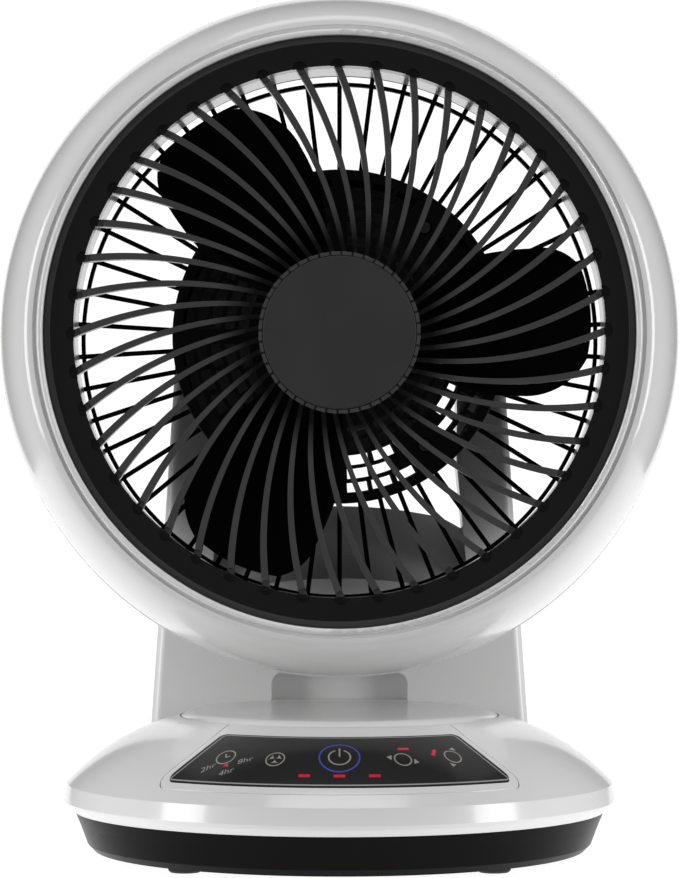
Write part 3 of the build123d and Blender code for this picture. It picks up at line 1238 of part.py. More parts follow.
def make_motor_front_cover():
    wall = fan_turned(outline(
        Polyline((DRUM_R, DRUM_FRONT_Y + 2.5), (DRUM_R, PLATE_Y), (DRUM_R - WALL, PLATE_Y),
                 (DRUM_R - WALL, DRUM_FRONT_Y + 2), (SHAFT_R + 3, DRUM_FRONT_Y + 2),
                 (SHAFT_R + 3, DRUM_FRONT_Y), (DRUM_R - 2.5, DRUM_FRONT_Y)),
        ThreePointArc((DRUM_R - 2.5, DRUM_FRONT_Y), (DRUM_R - 0.73, DRUM_FRONT_Y + 0.73),
                      (DRUM_R, DRUM_FRONT_Y + 2.5))))
    cover = wall - fan_disc(Sketch() + vent_slots(VENT_RINGS), DRUM_FRONT_Y - 1, DRUM_FRONT_Y + 3)
    for angle in COVER_SCREW_ANGLES:
        spot = Pos(*polar(COVER_SCREW_CIRCLE, angle))
        cover += fan_disc(spot * Circle(BOSS_R), DRUM_FRONT_Y + 1, PLATE_Y)
        cover -= fan_disc(spot * Circle(SCREW_HEAD_R + 0.3), DRUM_FRONT_Y - 1, DRUM_FRONT_Y + SCREW_HEAD)
        cover -= fan_disc(spot * Circle(SCREW_R + 0.1), DRUM_FRONT_Y, PLATE_Y + 1)
    return cover


def make_cover_screws():
    """Long screws from the vented front face into the rear grille's plate."""
    pieces = []
    for angle in COVER_SCREW_ANGLES:
        x, z = polar(COVER_SCREW_CIRCLE, angle)
        at = Plane(origin=(x, DRUM_FRONT_Y + SCREW_HEAD, HEAD_Z + z), x_dir=(1, 0, 0), z_dir=(0, 1, 0))
        pieces.append(at * screw(PLATE_Y - DRUM_FRONT_Y, body_r=SCREW_R - 0.02))
    return group(pieces)


def make_rear_grille():
    rim_r = BACK_OPEN_R - SEAM
    inner_rim = rim_r - REAR_RIM_WIDTH
    flat = ring(rim_r, inner_rim) + Circle(DRUM_R)
    flat += ring(REAR_RING_R + REAR_RING_WIDTH / 2, REAR_RING_R - REAR_RING_WIDTH / 2)
    length = inner_rim - DRUM_R + 2
    spoke = Pos(DRUM_R - 1 + length / 2, 0) * Rectangle(length, REAR_SPOKE_WIDTH)
    flat += [Rot(0, 0, 90 + step * 360 / REAR_SPOKES) * spoke for step in range(REAR_SPOKES)]
    flat -= vent_slots(VENT_RINGS[2:], OPEN_QUARTERS)
    flat -= Circle(SHAFT_R + 3)
    grille = fan_disc(flat, PLATE_Y, HEAD_BACK_Y)
    grille += fan_disc(ring(rim_r, inner_rim), BACK_LEDGE_Y + 0.1, HEAD_BACK_Y)
    holes = [Pos(*polar(COVER_SCREW_CIRCLE, angle)) * Circle(SCREW_R) for angle in COVER_SCREW_ANGLES]
    holes += [Pos(*polar(HOUSING_R - 4, angle)) * Circle(SCREW_R) for angle in HOUSING_SCREW_ANGLES]
    return grille - fan_disc(Sketch() + holes, PLATE_Y - 1, HEAD_BACK_Y + 1)


HOUSING_SCREW_ANGLES = (45, 135, 225, 315)


def make_pivot_housing():
    """Rounded cover behind the rear grille that carries the two trunnions."""
    round_r = 10
    bend = round_r * (1 - sqrt(0.5))     # from the square corner to the middle of the bend
    thin = WALL * sqrt(0.5)
    shell = fan_turned(outline(
        Line((HOUSING_R, HEAD_BACK_Y), (HOUSING_R, HOUSING_BACK_Y - round_r)),
        ThreePointArc((HOUSING_R, HOUSING_BACK_Y - round_r),
                      (HOUSING_R - bend, HOUSING_BACK_Y - bend),
                      (HOUSING_R - round_r, HOUSING_BACK_Y)),
        Line((HOUSING_R - round_r, HOUSING_BACK_Y), (0, HOUSING_BACK_Y)),
        Line((0, HOUSING_BACK_Y), (0, HOUSING_BACK_Y - WALL)),
        Line((0, HOUSING_BACK_Y - WALL), (HOUSING_R - round_r, HOUSING_BACK_Y - WALL)),
        ThreePointArc((HOUSING_R - round_r, HOUSING_BACK_Y - WALL),
                      (HOUSING_R - bend - thin, HOUSING_BACK_Y - bend - thin),
                      (HOUSING_R - WALL, HOUSING_BACK_Y - round_r)),
        Line((HOUSING_R - WALL, HOUSING_BACK_Y - round_r), (HOUSING_R - WALL, HEAD_BACK_Y)),
        Line((HOUSING_R - WALL, HEAD_BACK_Y), (HOUSING_R, HEAD_BACK_Y))))
    reach = fan_disc(Circle(HOUSING_R - WALL / 2), HEAD_BACK_Y, HOUSING_BACK_Y)
    for side in (-1, 1):
        ends = sorted((side * (HOUSING_R - 4), side * (HOUSING_R + 0.4)))
        shell += cross_disc(Circle(TRUNNION_FLANGE_R + 1), *ends)
    for angle in HOUSING_SCREW_ANGLES:
        spot = Pos(*polar(HOUSING_R - 4, angle))
        shell += fan_disc(spot * Circle(BOSS_R), HEAD_BACK_Y, HEAD_BACK_Y + 12) & reach
        shell -= fan_disc(spot * Circle(SCREW_R - 0.2), HEAD_BACK_Y - 1, HEAD_BACK_Y + 9)
    slot = Rot(0, 0, 90) * SlotCenterToCenter(7, 2.4)
    slots = [Rot(0, 0, 45 / row * step) * Pos(16 * row, 0) * slot
             for row in (1, 1.5, 2) for step in range(round(8 * row))]
    return shell - fan_disc(Sketch() + slots, HOUSING_BACK_Y - WALL - 1, HOUSING_BACK_Y + 1)


def make_housing_screws():
    """Short screws from inside the drum that hold the pivot housing."""
    pieces = []
    for angle in HOUSING_SCREW_ANGLES:
        x, z = polar(HOUSING_R - 4, angle)
        at = Plane(origin=(x, PLATE_Y, HEAD_Z + z), x_dir=(1, 0, 0), z_dir=(0, 1, 0))
        pieces.append(at * screw(10, body_r=SCREW_R - 0.22))
    return group(pieces)


def make_run_capacitor():
    can = Box(26, 16, 34, align=(Align.CENTER, Align.MIN, Align.CENTER))
    can = fillet(can.edges().filter_by(Axis.Z), 4)
    return Pos(0, HEAD_BACK_Y, HEAD_Z) * can


# ==== Power board and cord gland =================================================
POWER_BOARD_Z = TUB_FLOOR_Z + POST_HEIGHT


def power_board_posts():
    across, along = POWER_BOARD[0] / 2 - 4, POWER_BOARD[1] / 2 - 4
    return [Pos(POWER_BOARD_X + x, POWER_BOARD_Y + y) for x in (-across, across) for y in (-along, along)]


def make_power_board():
    sheet = Pos(POWER_BOARD_X, POWER_BOARD_Y) * RectangleRounded(*POWER_BOARD, 2)
    return upright(sheet, POWER_BOARD_Z, POWER_BOARD_Z + BOARD_THICK)


def make_board_components():
    top = POWER_BOARD_Z + BOARD_THICK
    can = upright(Pos(POWER_BOARD_X - 8, POWER_BOARD_Y + 12) * Circle(6), top, top + 16)
    choke = upright(Pos(POWER_BOARD_X + 9, POWER_BOARD_Y + 12) * ring(7, 3), top, top + 7)
    relay = upright(Pos(POWER_BOARD_X - 7, POWER_BOARD_Y - 9) * Rectangle(15, 12), top, top + 14)
    terminal = upright(Pos(POWER_BOARD_X + 9, POWER_BOARD_Y - 10) * Rectangle(8, 20), top, top + 10)
    can = fillet(can.edges().group_by(Axis.Z)[-1], 1)
    relay = chamfer(relay.edges().group_by(Axis.Z)[-1], 0.6)
    return group([can, choke, relay, terminal])


def make_cord_gland():
    """Collar in the rear of the lower shell that the mains cord comes in through."""
    back = gland_seat() + GLAND_FLANGE
    body = gland_stage(GLAND_R - RUN_FIT, back - GLAND_LENGTH, back)
    body += gland_stage(GLAND_FLANGE_R, gland_seat(), back)
    body = chamfer(body.edges().group_by(Axis.Y)[-1].sort_by(SortBy.LENGTH)[-1], 0.8)
    return body - gland_stage(CORD_BORE_R, back - GLAND_LENGTH - 1, back + 1)


# ==== Write every piece ==========================================================
front_half, rear_half, foot_tabs = make_yoke_shells()

PIECES = {
    "lower_shell": make_lower_shell(),
    "upper_shell": make_upper_shell(),
    "rubber_feet": make_rubber_feet(),
    "base_screws": make_base_screws(),
    "control_panel": make_control_panel(),
    "panel_frame": make_panel_frame(),
    "control_board": make_control_board(),
    "indicator_lights": make_indicator_lights(),
    "touch_springs": make_touch_springs(),
    "power_board": make_power_board(),
    "board_components": make_board_components(),
    "pan_motor": make_pan_motor(),
    "pan_motor_screws": make_pan_motor_screws(),
    "pan_bush": make_pan_bush(),
    "thrust_washer": make_thrust_washer(),
    "cord_gland": make_cord_gland(),
    "pan_pinion": make_pan_pinion(),
    "turntable": make_turntable(),
    "turntable_screws": make_turntable_screws(),
    "pan_spindle": make_pan_spindle(),
    "pan_gear": make_pan_gear(),
    "spindle_clip": make_spindle_clip(),
    "yoke_front_shell": make_yoke_front(front_half, foot_tabs),
    "yoke_rear_shell": rear_half,
    "yoke_screws": make_yoke_screws(),
    "tilt_motor": make_tilt_motor(),
    "tilt_bush_left": make_tilt_bush(-1),
    "tilt_bush_right": make_tilt_bush(1),
    "tilt_pinion": make_tilt_pinion(),
    "front_shell": make_front_shell(),
    "rear_shell": make_rear_shell(),
    "shell_screws": fan_screws(SHELL_SCREW_CIRCLE, SHELL_SCREW_ANGLES, SHELL_SCREW_SEAT, 14),
    "front_grille": make_front_grille(),
    "grille_cap": make_grille_cap(),
    "rear_grille": make_rear_grille(),
    "motor_front_cover": make_motor_front_cover(),
    "cover_screws": make_cover_screws(),
    "pivot_housing": make_pivot_housing(),
    "housing_screws": make_housing_screws(),
    "run_capacitor": make_run_capacitor(),
    "trunnion_left": make_trunnion(-1, 0),
    "trunnion_right": make_trunnion(1, TILT_GEAR_X + TILT_GEAR_WIDTH + 0.6),
    "tilt_gear": make_tilt_gear(),
    "motor_stator": make_motor_stator(),
    "motor_windings": make_motor_windings(),
    "motor_bell_front": make_bell_front(),
    "motor_bell_rear": make_bell_rear(),
    "motor_bearings": make_motor_bearings(),
    "fan_blade": make_fan_blade(),
    "blade_nut": make_blade_nut(),
    "motor_shaft": make_motor_shaft(),
    "rotor_core": make_rotor_core(),
}

for name, piece in PIECES.items():
    export_step(piece, f"parts/{name}.step")
    print(name, len(piece.solids()))
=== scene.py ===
# %% [markdown]
# # A table-top air circulator fan
#
# This lesson dresses a finished solid model of a small fan. The solids come in already at their
# real size and place, so nothing here moves them: each cell adds what the eye needs, which is
# the finish of each moulding, the printing on the touch panel, the light and the camera.

from math import atan2, ceil, cos, pi, radians, sin, sqrt

import bmesh
import bpy
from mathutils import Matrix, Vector
from mathutils.bvhtree import BVHTree


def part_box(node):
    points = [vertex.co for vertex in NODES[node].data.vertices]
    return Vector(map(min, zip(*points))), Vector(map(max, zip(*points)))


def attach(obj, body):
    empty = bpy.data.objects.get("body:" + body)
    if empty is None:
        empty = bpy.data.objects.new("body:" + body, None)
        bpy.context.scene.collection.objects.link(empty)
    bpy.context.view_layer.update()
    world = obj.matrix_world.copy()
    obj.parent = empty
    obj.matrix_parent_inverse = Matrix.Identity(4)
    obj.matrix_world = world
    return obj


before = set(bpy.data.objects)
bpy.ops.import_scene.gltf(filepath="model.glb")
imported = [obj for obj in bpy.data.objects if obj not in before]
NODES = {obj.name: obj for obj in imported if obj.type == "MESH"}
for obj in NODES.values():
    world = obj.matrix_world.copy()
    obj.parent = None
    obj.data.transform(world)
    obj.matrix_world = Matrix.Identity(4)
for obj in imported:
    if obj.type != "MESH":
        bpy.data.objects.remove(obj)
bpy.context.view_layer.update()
MM = 0.001
grille_low, grille_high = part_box("front_grille")
HEAD_Z = (grille_low.z + grille_high.z) / 2
GRILLE_RADIUS = grille_high.x
CAP_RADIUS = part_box("grille_cap")[1].x
print("fan axis at", round(HEAD_Z, 4), "grille radius", round(GRILLE_RADIUS, 4))

# %% [markdown]
# ## The camera
#
# The picture was taken from straight in front with a long lens, a little below the middle of the
# fan. That is still well above the turntable, which shows from above, and the head is seen almost
# square on. A level camera with a small upward shift keeps the upright lines of the yoke parallel,
# as a shift lens does. Tilting the camera instead would make them lean.

# %% Camera
CAMERA_Y = -1320 * MM
CAMERA_Z = 155.2 * MM
LENS_MM = 134.4
LENS_SHIFT = 0.0334
lens = bpy.data.cameras.new("long_lens")
lens.lens = LENS_MM
lens.shift_y = LENS_SHIFT
camera = bpy.data.objects.new("camera", lens)
camera.location = (0, CAMERA_Y, CAMERA_Z)
camera.rotation_euler = (radians(90), 0, 0)
bpy.context.scene.collection.objects.link(camera)
bpy.context.scene.camera = camera
print("camera at", tuple(round(v, 3) for v in camera.location))

# %% [markdown]
# ## Writing shaders as sums
#
# A material is a little circuit of nodes. Wiring it up one link at a time hides the idea, so one
# small class wraps a socket and lets the sums be written as sums: `1 - mask` adds the Math node
# itself. Every other node comes from one method, which takes the node's kind, its settings and
# what goes into its sockets.

# %% Sockets that add up
class Wire:
    """An output socket that can be added, multiplied and compared."""

    def __init__(self, sheet, socket):
        self.sheet, self.socket = sheet, socket

    def sum(self, how, first, second=0.0):
        return self.sheet.node("ShaderNodeMath", {"operation": how}, {0: first, 1: second})

    def __add__(self, other):
        return self.sum("ADD", self, other)

    def __radd__(self, other):
        return self.sum("ADD", other, self)

    def __sub__(self, other):
        return self.sum("SUBTRACT", self, other)

    def __rsub__(self, other):
        return self.sum("SUBTRACT", other, self)

    def __mul__(self, other):
        return self.sum("MULTIPLY", self, other)

    def __rmul__(self, other):
        return self.sum("MULTIPLY", other, self)

    def __gt__(self, other):
        return self.sum("GREATER_THAN", self, other)

    def __lt__(self, other):
        return self.sum("LESS_THAN", self, other)


class Finish:
    """The circuit of one material, drawn on its own sheet."""

    def __init__(self, name):
        self.material = bpy.data.materials.new(name)
        self.material.use_nodes = True
        self.tree = self.material.node_tree
        self.tree.nodes.clear()

    def node(self, kind, settings=None, sockets=None, out=0):
        made = self.tree.nodes.new(kind)
        for name, value in (settings or {}).items():
            setattr(made, name, value)
        for key, value in (sockets or {}).items():
            if isinstance(value, Wire):
                self.tree.links.new(value.socket, made.inputs[key])
            else:
                made.inputs[key].default_value = value
        return None if out is None else Wire(self, made.outputs[out])


print("socket sums ready:", ", ".join(k for k in vars(Wire) if k.startswith("__r")))

# %% [markdown]
# Places on the fan are read in metres from the object's own coordinates, so the grain of a
# finish has a real size and moves with the piece. These helpers give a place, a noise, moulded
# pits, a blend of two colours, a bump, and the shader that ends every material. Two more say how
# far a place is from the fan's axis and whether a face looks ahead, out of the front of the fan.

# %% Helpers that all the finishes share
MOSTLY_AHEAD = 0.6  # the least share of straight ahead in the direction that a face looks in


def place(sheet, stretch=(1, 1, 1)):
    spot = sheet.node("ShaderNodeTexCoord", out="Object")
    return sheet.node("ShaderNodeMapping", {}, {"Vector": spot, "Scale": stretch})


def parts_of(sheet, spot):
    split = sheet.node("ShaderNodeSeparateXYZ", {}, {0: spot})
    return [Wire(sheet, end) for end in split.socket.node.outputs]


def noise(sheet, spot, scale, detail=2.0, rough=0.5):
    return sheet.node("ShaderNodeTexNoise", {},
                      {"Vector": spot, "Scale": scale, "Detail": detail, "Roughness": rough})


def moulded_pits(sheet, spot, scale):
    return sheet.node("ShaderNodeTexVoronoi", {"feature": "SMOOTH_F1"}, {"Vector": spot, "Scale": scale})


def from_axis(sheet, spot):
    x, _, z = parts_of(sheet, spot)
    rise = z - HEAD_Z
    return sheet.node("ShaderNodeMath", {"operation": "SQRT"}, {0: x * x + rise * rise})


def looks_ahead(sheet):
    ahead = parts_of(sheet, sheet.node("ShaderNodeTexCoord", out="Normal"))[1] * -1
    return ahead > MOSTLY_AHEAD


def blend(sheet, share, first, second):
    return sheet.node("ShaderNodeMix", {"data_type": "RGBA"}, {0: share, 6: first, 7: second}, out=2)


def bump(sheet, height, depth_mm, strength=1.0):
    return sheet.node("ShaderNodeBump", {},
                      {"Height": height, "Distance": depth_mm * MM, "Strength": strength})


def paint(sheet, colour, rough, normal=None, **constants):
    sockets = {"Base Color": colour, "Roughness": rough}
    if normal is not None:
        sockets["Normal"] = normal
    sockets.update({key.replace("_", " "): value for key, value in constants.items()})
    shader = sheet.node("ShaderNodeBsdfPrincipled", {}, sockets)
    sheet.node("ShaderNodeOutputMaterial", {}, {"Surface": shader}, out=None)
    return sheet.material


def grey(level, warm=0.0):
    return (level + warm, level, level - warm, 1)


print("helpers ready")

# %% [markdown]
# ## White mouldings
#
# The head and the base are injection-moulded in glossy white, and the yoke is a little duller. A
# real moulding isn't a perfect mirror: it has a faint waviness from the mould, and its gloss varies
# where it has been handled. A slow noise moves the roughness and a fine one ripples the surface by
# a few microns.

# %% Glossy white plastic
def white_moulding(name, rough=0.2, level=0.80):
    sheet = Finish(name)
    spot = place(sheet)
    cloud = noise(sheet, spot, scale=14, detail=3)
    peel = noise(sheet, spot, scale=420)
    colour = blend(sheet, cloud, grey(level - 0.012, warm=0.002), grey(level + 0.008))
    ripple = bump(sheet, peel, depth_mm=0.012, strength=0.35)
    return paint(sheet, colour, cloud * 0.10 + (rough - 0.05), ripple,
                 IOR=1.5, Coat_Weight=0.35, Coat_Roughness=0.06)


WHITE = white_moulding("glossy_white_plastic")
WHITE_YOKE = white_moulding("satin_white_plastic", rough=0.34, level=0.78)
print("white finishes:", WHITE.name, WHITE_YOKE.name)

# %% [markdown]
# ## Black mouldings
#
# The hub cap, the blades and the motor's drum are black with a fine spark-eroded grain, which a
# cell noise gives better than a smooth one because the real grain is made of tiny pits. The cap is
# the dullest and palest of them, and the lower shell is the smoothest.

# %% Satin black plastic
def black_moulding(name, level, rough, grain_mm=0.02, pits_scale=1400, shine=0.5):
    sheet = Finish(name)
    spot = place(sheet)
    pits = moulded_pits(sheet, spot, pits_scale)
    cloud = noise(sheet, spot, scale=30)
    colour = blend(sheet, cloud, grey(level * 0.8), grey(level * 1.25, warm=level * 0.02))
    return paint(sheet, colour, cloud * 0.12 + (rough - 0.06), bump(sheet, pits, grain_mm, 0.5),
                 IOR=1.46, Specular_IOR_Level=shine)


CAP_BLACK = black_moulding("matt_black_cap", 0.034, 0.6, grain_mm=0.03, pits_scale=1800, shine=0.25)
BLADE_BLACK = black_moulding("black_blades", 0.003, 0.45, shine=0.15)
DRUM_BLACK = black_moulding("black_motor_cover", 0.008, 0.5, shine=0.3)
TUB_BLACK = black_moulding("smooth_black_shell", 0.003, 0.3, grain_mm=0.01, pits_scale=900, shine=0.08)
print("black finishes made")

# %% [markdown]
# The rear grille is one moulding too, and its spokes are so deep in the head that they stay black.
# The plate in its middle lies behind the drum's vents, where a lighter tone shows through the slots.
# Its front face is painted pale, as painted light seen through the vents, picked out by the distance
# from the axis and by facing ahead, and the back of the plate stays black.

# %% Rear grille: black spokes, painted light on the front of the plate
PLATE_RADIUS = 64 * MM


def rear_black():
    sheet = Finish("black_rear_grille")
    spot = place(sheet)
    cloud = noise(sheet, spot, scale=60)
    # painted light: the front face of the plate inside PLATE_RADIUS is painted a pale grey
    painted_light_on_plate = (from_axis(sheet, spot) < PLATE_RADIUS) * looks_ahead(sheet)
    colour = blend(sheet, painted_light_on_plate, grey(0.004), blend(sheet, cloud, grey(0.48), grey(0.6)))
    return paint(sheet, colour, cloud * 0.1 + 0.45, bump(sheet, cloud, 0.02, 0.4), IOR=1.46,
                 Specular_IOR_Level=0.2)


REAR_BLACK = rear_black()
print("rear grille finish:", REAR_BLACK.name)

# %% [markdown]
# The front grille is one moulding with two surfaces. The flat of the ring is polished and shows
# the dark room in front of it, while the front faces of the spokes, the hub's rim and the bevel
# of the ring are spark-eroded and catch light from everywhere. The sides of the spokes and the
# hub round the cap are polished and darker still. Near the hub the front faces of the spokes are
# painted darker, a painted shade that gives way to the grained colour over their first stretch,
# and their roughness rises with it. The distance from the fan's axis and the direction that a
# face looks in are enough to tell all of these apart.

# %% Grille: polished ring, grained spokes, painted shade near the hub
HUB_RIM = (CAP_RADIUS + 0.25 * MM, CAP_RADIUS + 1.75 * MM)
# the stretch from the hub over which the painted shade on the spoke fronts gives way
SPOKES_GRAIN_AND_SHADE = (36 * MM, 50 * MM)
SPOKES_END = GRILLE_RADIUS - 12.1 * MM
RING_TONE_FROM = GRILLE_RADIUS - 14.6 * MM
BEVEL_FROM = GRILLE_RADIUS - 2.5 * MM


def grille_black():
    sheet = Finish("black_front_grille")
    spot = place(sheet)
    radius = from_axis(sheet, spot)
    # painted shade: the spoke fronts are darker near the hub and turn to the grained colour and
    # roughness over this stretch
    spoke_grain_and_shade = sheet.node("ShaderNodeMapRange", {"clamp": True},
                      {"Value": radius, "From Min": SPOKES_GRAIN_AND_SHADE[0], "From Max": SPOKES_GRAIN_AND_SHADE[1]})
    rim = (radius > HUB_RIM[0]) * (radius < HUB_RIM[1])
    grained = (spoke_grain_and_shade * (radius < SPOKES_END) + (radius > BEVEL_FROM) + rim) * looks_ahead(sheet)
    pits = moulded_pits(sheet, spot, 1500)
    cloud = noise(sheet, spot, scale=40)
    polished = blend(sheet, radius > RING_TONE_FROM, grey(0.002), grey(0.009))
    colour = blend(sheet, grained, polished, blend(sheet, cloud, grey(0.042), grey(0.056)))
    rough = grained * 0.3 + cloud * 0.08 + 0.16
    return paint(sheet, colour, rough, bump(sheet, pits, 0.02, 0.4), IOR=1.46, Specular_IOR_Level=0.35)


GRILLE_BLACK = grille_black()
print("grille finish:", GRILLE_BLACK.name)

# %% [markdown]
# The touch panel is glossy, but in the photograph it shows no sharp reflection, so its shine is
# soft and a little uneven, as after wiping. A noise that is squeezed one way gives the wiping
# marks, and a very fine one varies the black itself like dust.

# %% Glossy touch panel
WIPED = (1, 2.2, 1)


def panel_gloss():
    sheet = Finish("glossy_touch_panel")
    smear = noise(sheet, place(sheet, WIPED), scale=60, detail=4, rough=0.6)
    dust = noise(sheet, place(sheet), scale=2600, detail=1)
    colour = blend(sheet, dust, grey(0.020), grey(0.026))
    return paint(sheet, colour, smear * 0.12 + 0.16, bump(sheet, smear, 0.004, 0.3),
                 Specular_IOR_Level=0.16, Coat_Weight=0.03, Coat_Roughness=0.1)


PANEL_BLACK = panel_gloss()
print("panel finish:", PANEL_BLACK.name)

# %% [markdown]
# ## Metals, rubber and the inner pieces
#
# Most of these can't be seen with the fan shut, but the solids are there, so they get their own
# finishes. The metals share one recipe: a noise stretched along the piece gives drawn steel its
# lines, and the same noise left even gives the coarse skin of a casting, a blackened screw or a
# sintered bearing.

# %% Metals
def drawn_metal(name, tone, rough, stretch=(900, 40, 900)):
    sheet = Finish(name)
    lines = noise(sheet, place(sheet, stretch), scale=1, detail=3)
    cloud = noise(sheet, place(sheet), scale=60)
    colour = blend(sheet, cloud, (*[c * 0.86 for c in tone], 1), (*tone, 1))
    return paint(sheet, colour, lines * 0.16 + (rough - 0.08), bump(sheet, lines, 0.01, 0.4),
                 Metallic=1.0)


STEEL = drawn_metal("drawn_steel", (0.60, 0.60, 0.62), 0.28)
SCREW = drawn_metal("blackened_screws", (0.11, 0.11, 0.115), 0.38, (500, 500, 500))
CAST = drawn_metal("cast_aluminium", (0.66, 0.67, 0.68), 0.42, (260, 260, 260))
BRONZE = drawn_metal("sintered_bronze", (0.50, 0.33, 0.15), 0.5, (1500, 1500, 1500))
print("metals made")

# %% [markdown]
# Copper wire lies in layers and the iron core is a stack of thin sheets. A wave pattern gives both:
# its dark bands are the gaps between the turns or the sheets. Modelling each turn would cost far
# more and never be seen.

# %% Windings and laminations
WAVE_FACTOR = 20  # the Wave node multiplies a place along one axis by this before its sine


def layered(name, dark, light, band_mm, rough, axis):
    """Metal in layers, each dark or light band about this wide."""
    sheet = Finish(name)
    bands = sheet.node("ShaderNodeTexWave", {"bands_direction": axis},
                       {"Vector": place(sheet), "Scale": pi / (WAVE_FACTOR * band_mm * MM),
                        "Distortion": 0.6, "Detail": 1.0, "Detail Scale": 3.0})
    colour = blend(sheet, bands, (*dark, 1), (*light, 1))
    return paint(sheet, colour, bands * -0.1 + rough, bump(sheet, bands, 0.06, 0.6), Metallic=1.0)


COPPER = layered("copper_windings", (0.22, 0.07, 0.02), (0.72, 0.30, 0.12), 0.5, 0.34, "DIAGONAL")
IRON = layered("stacked_iron_sheets", (0.10, 0.10, 0.11), (0.32, 0.32, 0.34), 0.6, 0.45, "Y")
print("motor finishes made")

# %% [markdown]
# The feet are dull rubber with a mottled skin, the gears and bushes slightly milky acetal, and the
# boards green lacquer over tracks. A brick pattern stands in for the tracks, because its mortar
# lines turn square corners as tracks do.

# %% Rubber, acetal and the circuit boards
def soft_black():
    sheet = Finish("black_rubber")
    mottle = noise(sheet, place(sheet), scale=700, detail=4, rough=0.7)
    return paint(sheet, blend(sheet, mottle, grey(0.014), grey(0.03)), mottle * 0.1 + 0.68,
                 bump(sheet, mottle, 0.05, 0.6))


def acetal():
    sheet = Finish("natural_acetal")
    cloud = noise(sheet, place(sheet), scale=90)
    return paint(sheet, blend(sheet, cloud, (0.74, 0.72, 0.64, 1), (0.82, 0.80, 0.73, 1)),
                 cloud * 0.12 + 0.36, bump(sheet, cloud, 0.02, 0.3))


def green_board():
    sheet = Finish("green_circuit_board")
    spot = place(sheet)
    tracks = sheet.node("ShaderNodeTexBrick", {"offset": 0.37},
                        {"Vector": spot, "Scale": 150.0, "Mortar Size": 0.03,
                         "Color1": (0, 0, 0, 1), "Color2": (0, 0, 0, 1), "Mortar": (1, 1, 1, 1)})
    colour = blend(sheet, tracks, (0.012, 0.10, 0.045, 1), (0.06, 0.24, 0.10, 1))
    lacquer = noise(sheet, spot, scale=300)
    return paint(sheet, colour, lacquer * 0.1 + 0.25, bump(sheet, tracks, 0.03, 0.6), Coat_Weight=0.4)


RUBBER, ACETAL, BOARD = soft_black(), acetal(), green_board()
PART_CASES = black_moulding("grey_component_cases", 0.08, 0.45, pits_scale=900)
print("rubber, acetal and board finishes made")

# %% [markdown]
# ## Red indicator windows
#
# Six small windows of clear red plastic sit flush in the panel, with a lit lamp under each. The
# glow is strongest in the middle of a window, but at two or three millimetres across an even
# glow with a slight grain looks the same and stays cheap.

# %% Lit windows
def lit_window():
    sheet = Finish("lit_red_window")
    grain = noise(sheet, place(sheet), scale=900)
    glow = blend(sheet, grain, (0.34, 0.0, 0.012, 1), (0.62, 0.005, 0.03, 1))
    return paint(sheet, (0.20, 0.003, 0.012, 1), grain * 0.1 + 0.25, Emission_Color=glow,
                 Emission_Strength=0.75)


LIT_RED = lit_window()
print("window finish:", LIT_RED.name)

# %% [markdown]
# ## Giving each solid its finish
#
# The solids keep their own shapes; only the material in each slot changes.

# %% Hand out the finishes
WORN_BY = {
    WHITE: "upper_shell panel_frame turntable front_shell rear_shell",
    WHITE_YOKE: "yoke_front_shell yoke_rear_shell",
    GRILLE_BLACK: "front_grille",
    REAR_BLACK: "rear_grille",
    CAP_BLACK: "grille_cap",
    BLADE_BLACK: "fan_blade blade_nut",
    DRUM_BLACK: "motor_front_cover pivot_housing",
    TUB_BLACK: "lower_shell cord_gland",
    PANEL_BLACK: "control_panel",
    LIT_RED: "indicator_lights",
    RUBBER: "rubber_feet",
    STEEL: "touch_springs spindle_clip trunnion_left trunnion_right motor_shaft",
    SCREW: "base_screws pan_motor_screws turntable_screws yoke_screws shell_screws cover_screws "
           "housing_screws",
    CAST: "pan_motor tilt_motor motor_bell_front motor_bell_rear",
    BRONZE: "motor_bearings",
    COPPER: "motor_windings",
    IRON: "motor_stator rotor_core",
    ACETAL: "pan_bush thrust_washer pan_pinion pan_spindle pan_gear tilt_bush_left "
            "tilt_bush_right tilt_pinion tilt_gear",
    BOARD: "control_board power_board",
    PART_CASES: "board_components run_capacitor",
}
for finish, names in WORN_BY.items():
    for name in names.split():
        mesh = NODES[name].data
        mesh.materials.clear()
        mesh.materials.append(finish)
dressed = {name for names in WORN_BY.values() for name in names.split()}
print("dressed", len(dressed), "left bare:", sorted(set(NODES) - dressed))

# %% [markdown]
# ## Printing on the touch panel
#
# The symbols are printed on a domed panel. Each one is drawn flat, in millimetres seen from
# above, then every point is dropped straight down on the panel with a ray, so the print follows
# the dome from any side. A decal image would be simpler, but a mesh keeps its edge at any zoom.

# %% Dropping flat shapes on the panel
panel_mesh = bmesh.new()
panel_mesh.from_mesh(NODES["control_panel"].data)
panel_tree = BVHTree.FromBMesh(panel_mesh)
INK_HEIGHT = 0.04 * MM
ABOVE_PANEL = 100 * MM
A_LITTLE_IN = 0.999
SAME_POINT = 1e-7


def on_panel(x, y):
    """The point of the panel's top that lies under (x, y), in mm, with the ink's height added."""
    hit, facing, _, _ = panel_tree.ray_cast(Vector((x * MM, y * MM, ABOVE_PANEL)), Vector((0, 0, -1)))
    if hit is None:
        return on_panel(x * A_LITTLE_IN, y * A_LITTLE_IN)
    return hit + facing * INK_HEIGHT


def add_print(name, data, ink):
    """A printed mesh that stays with the base."""
    data.materials.clear()
    data.materials.append(ink)
    piece = bpy.data.objects.new(name, data)
    bpy.context.scene.collection.objects.link(piece)
    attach(piece, "base")


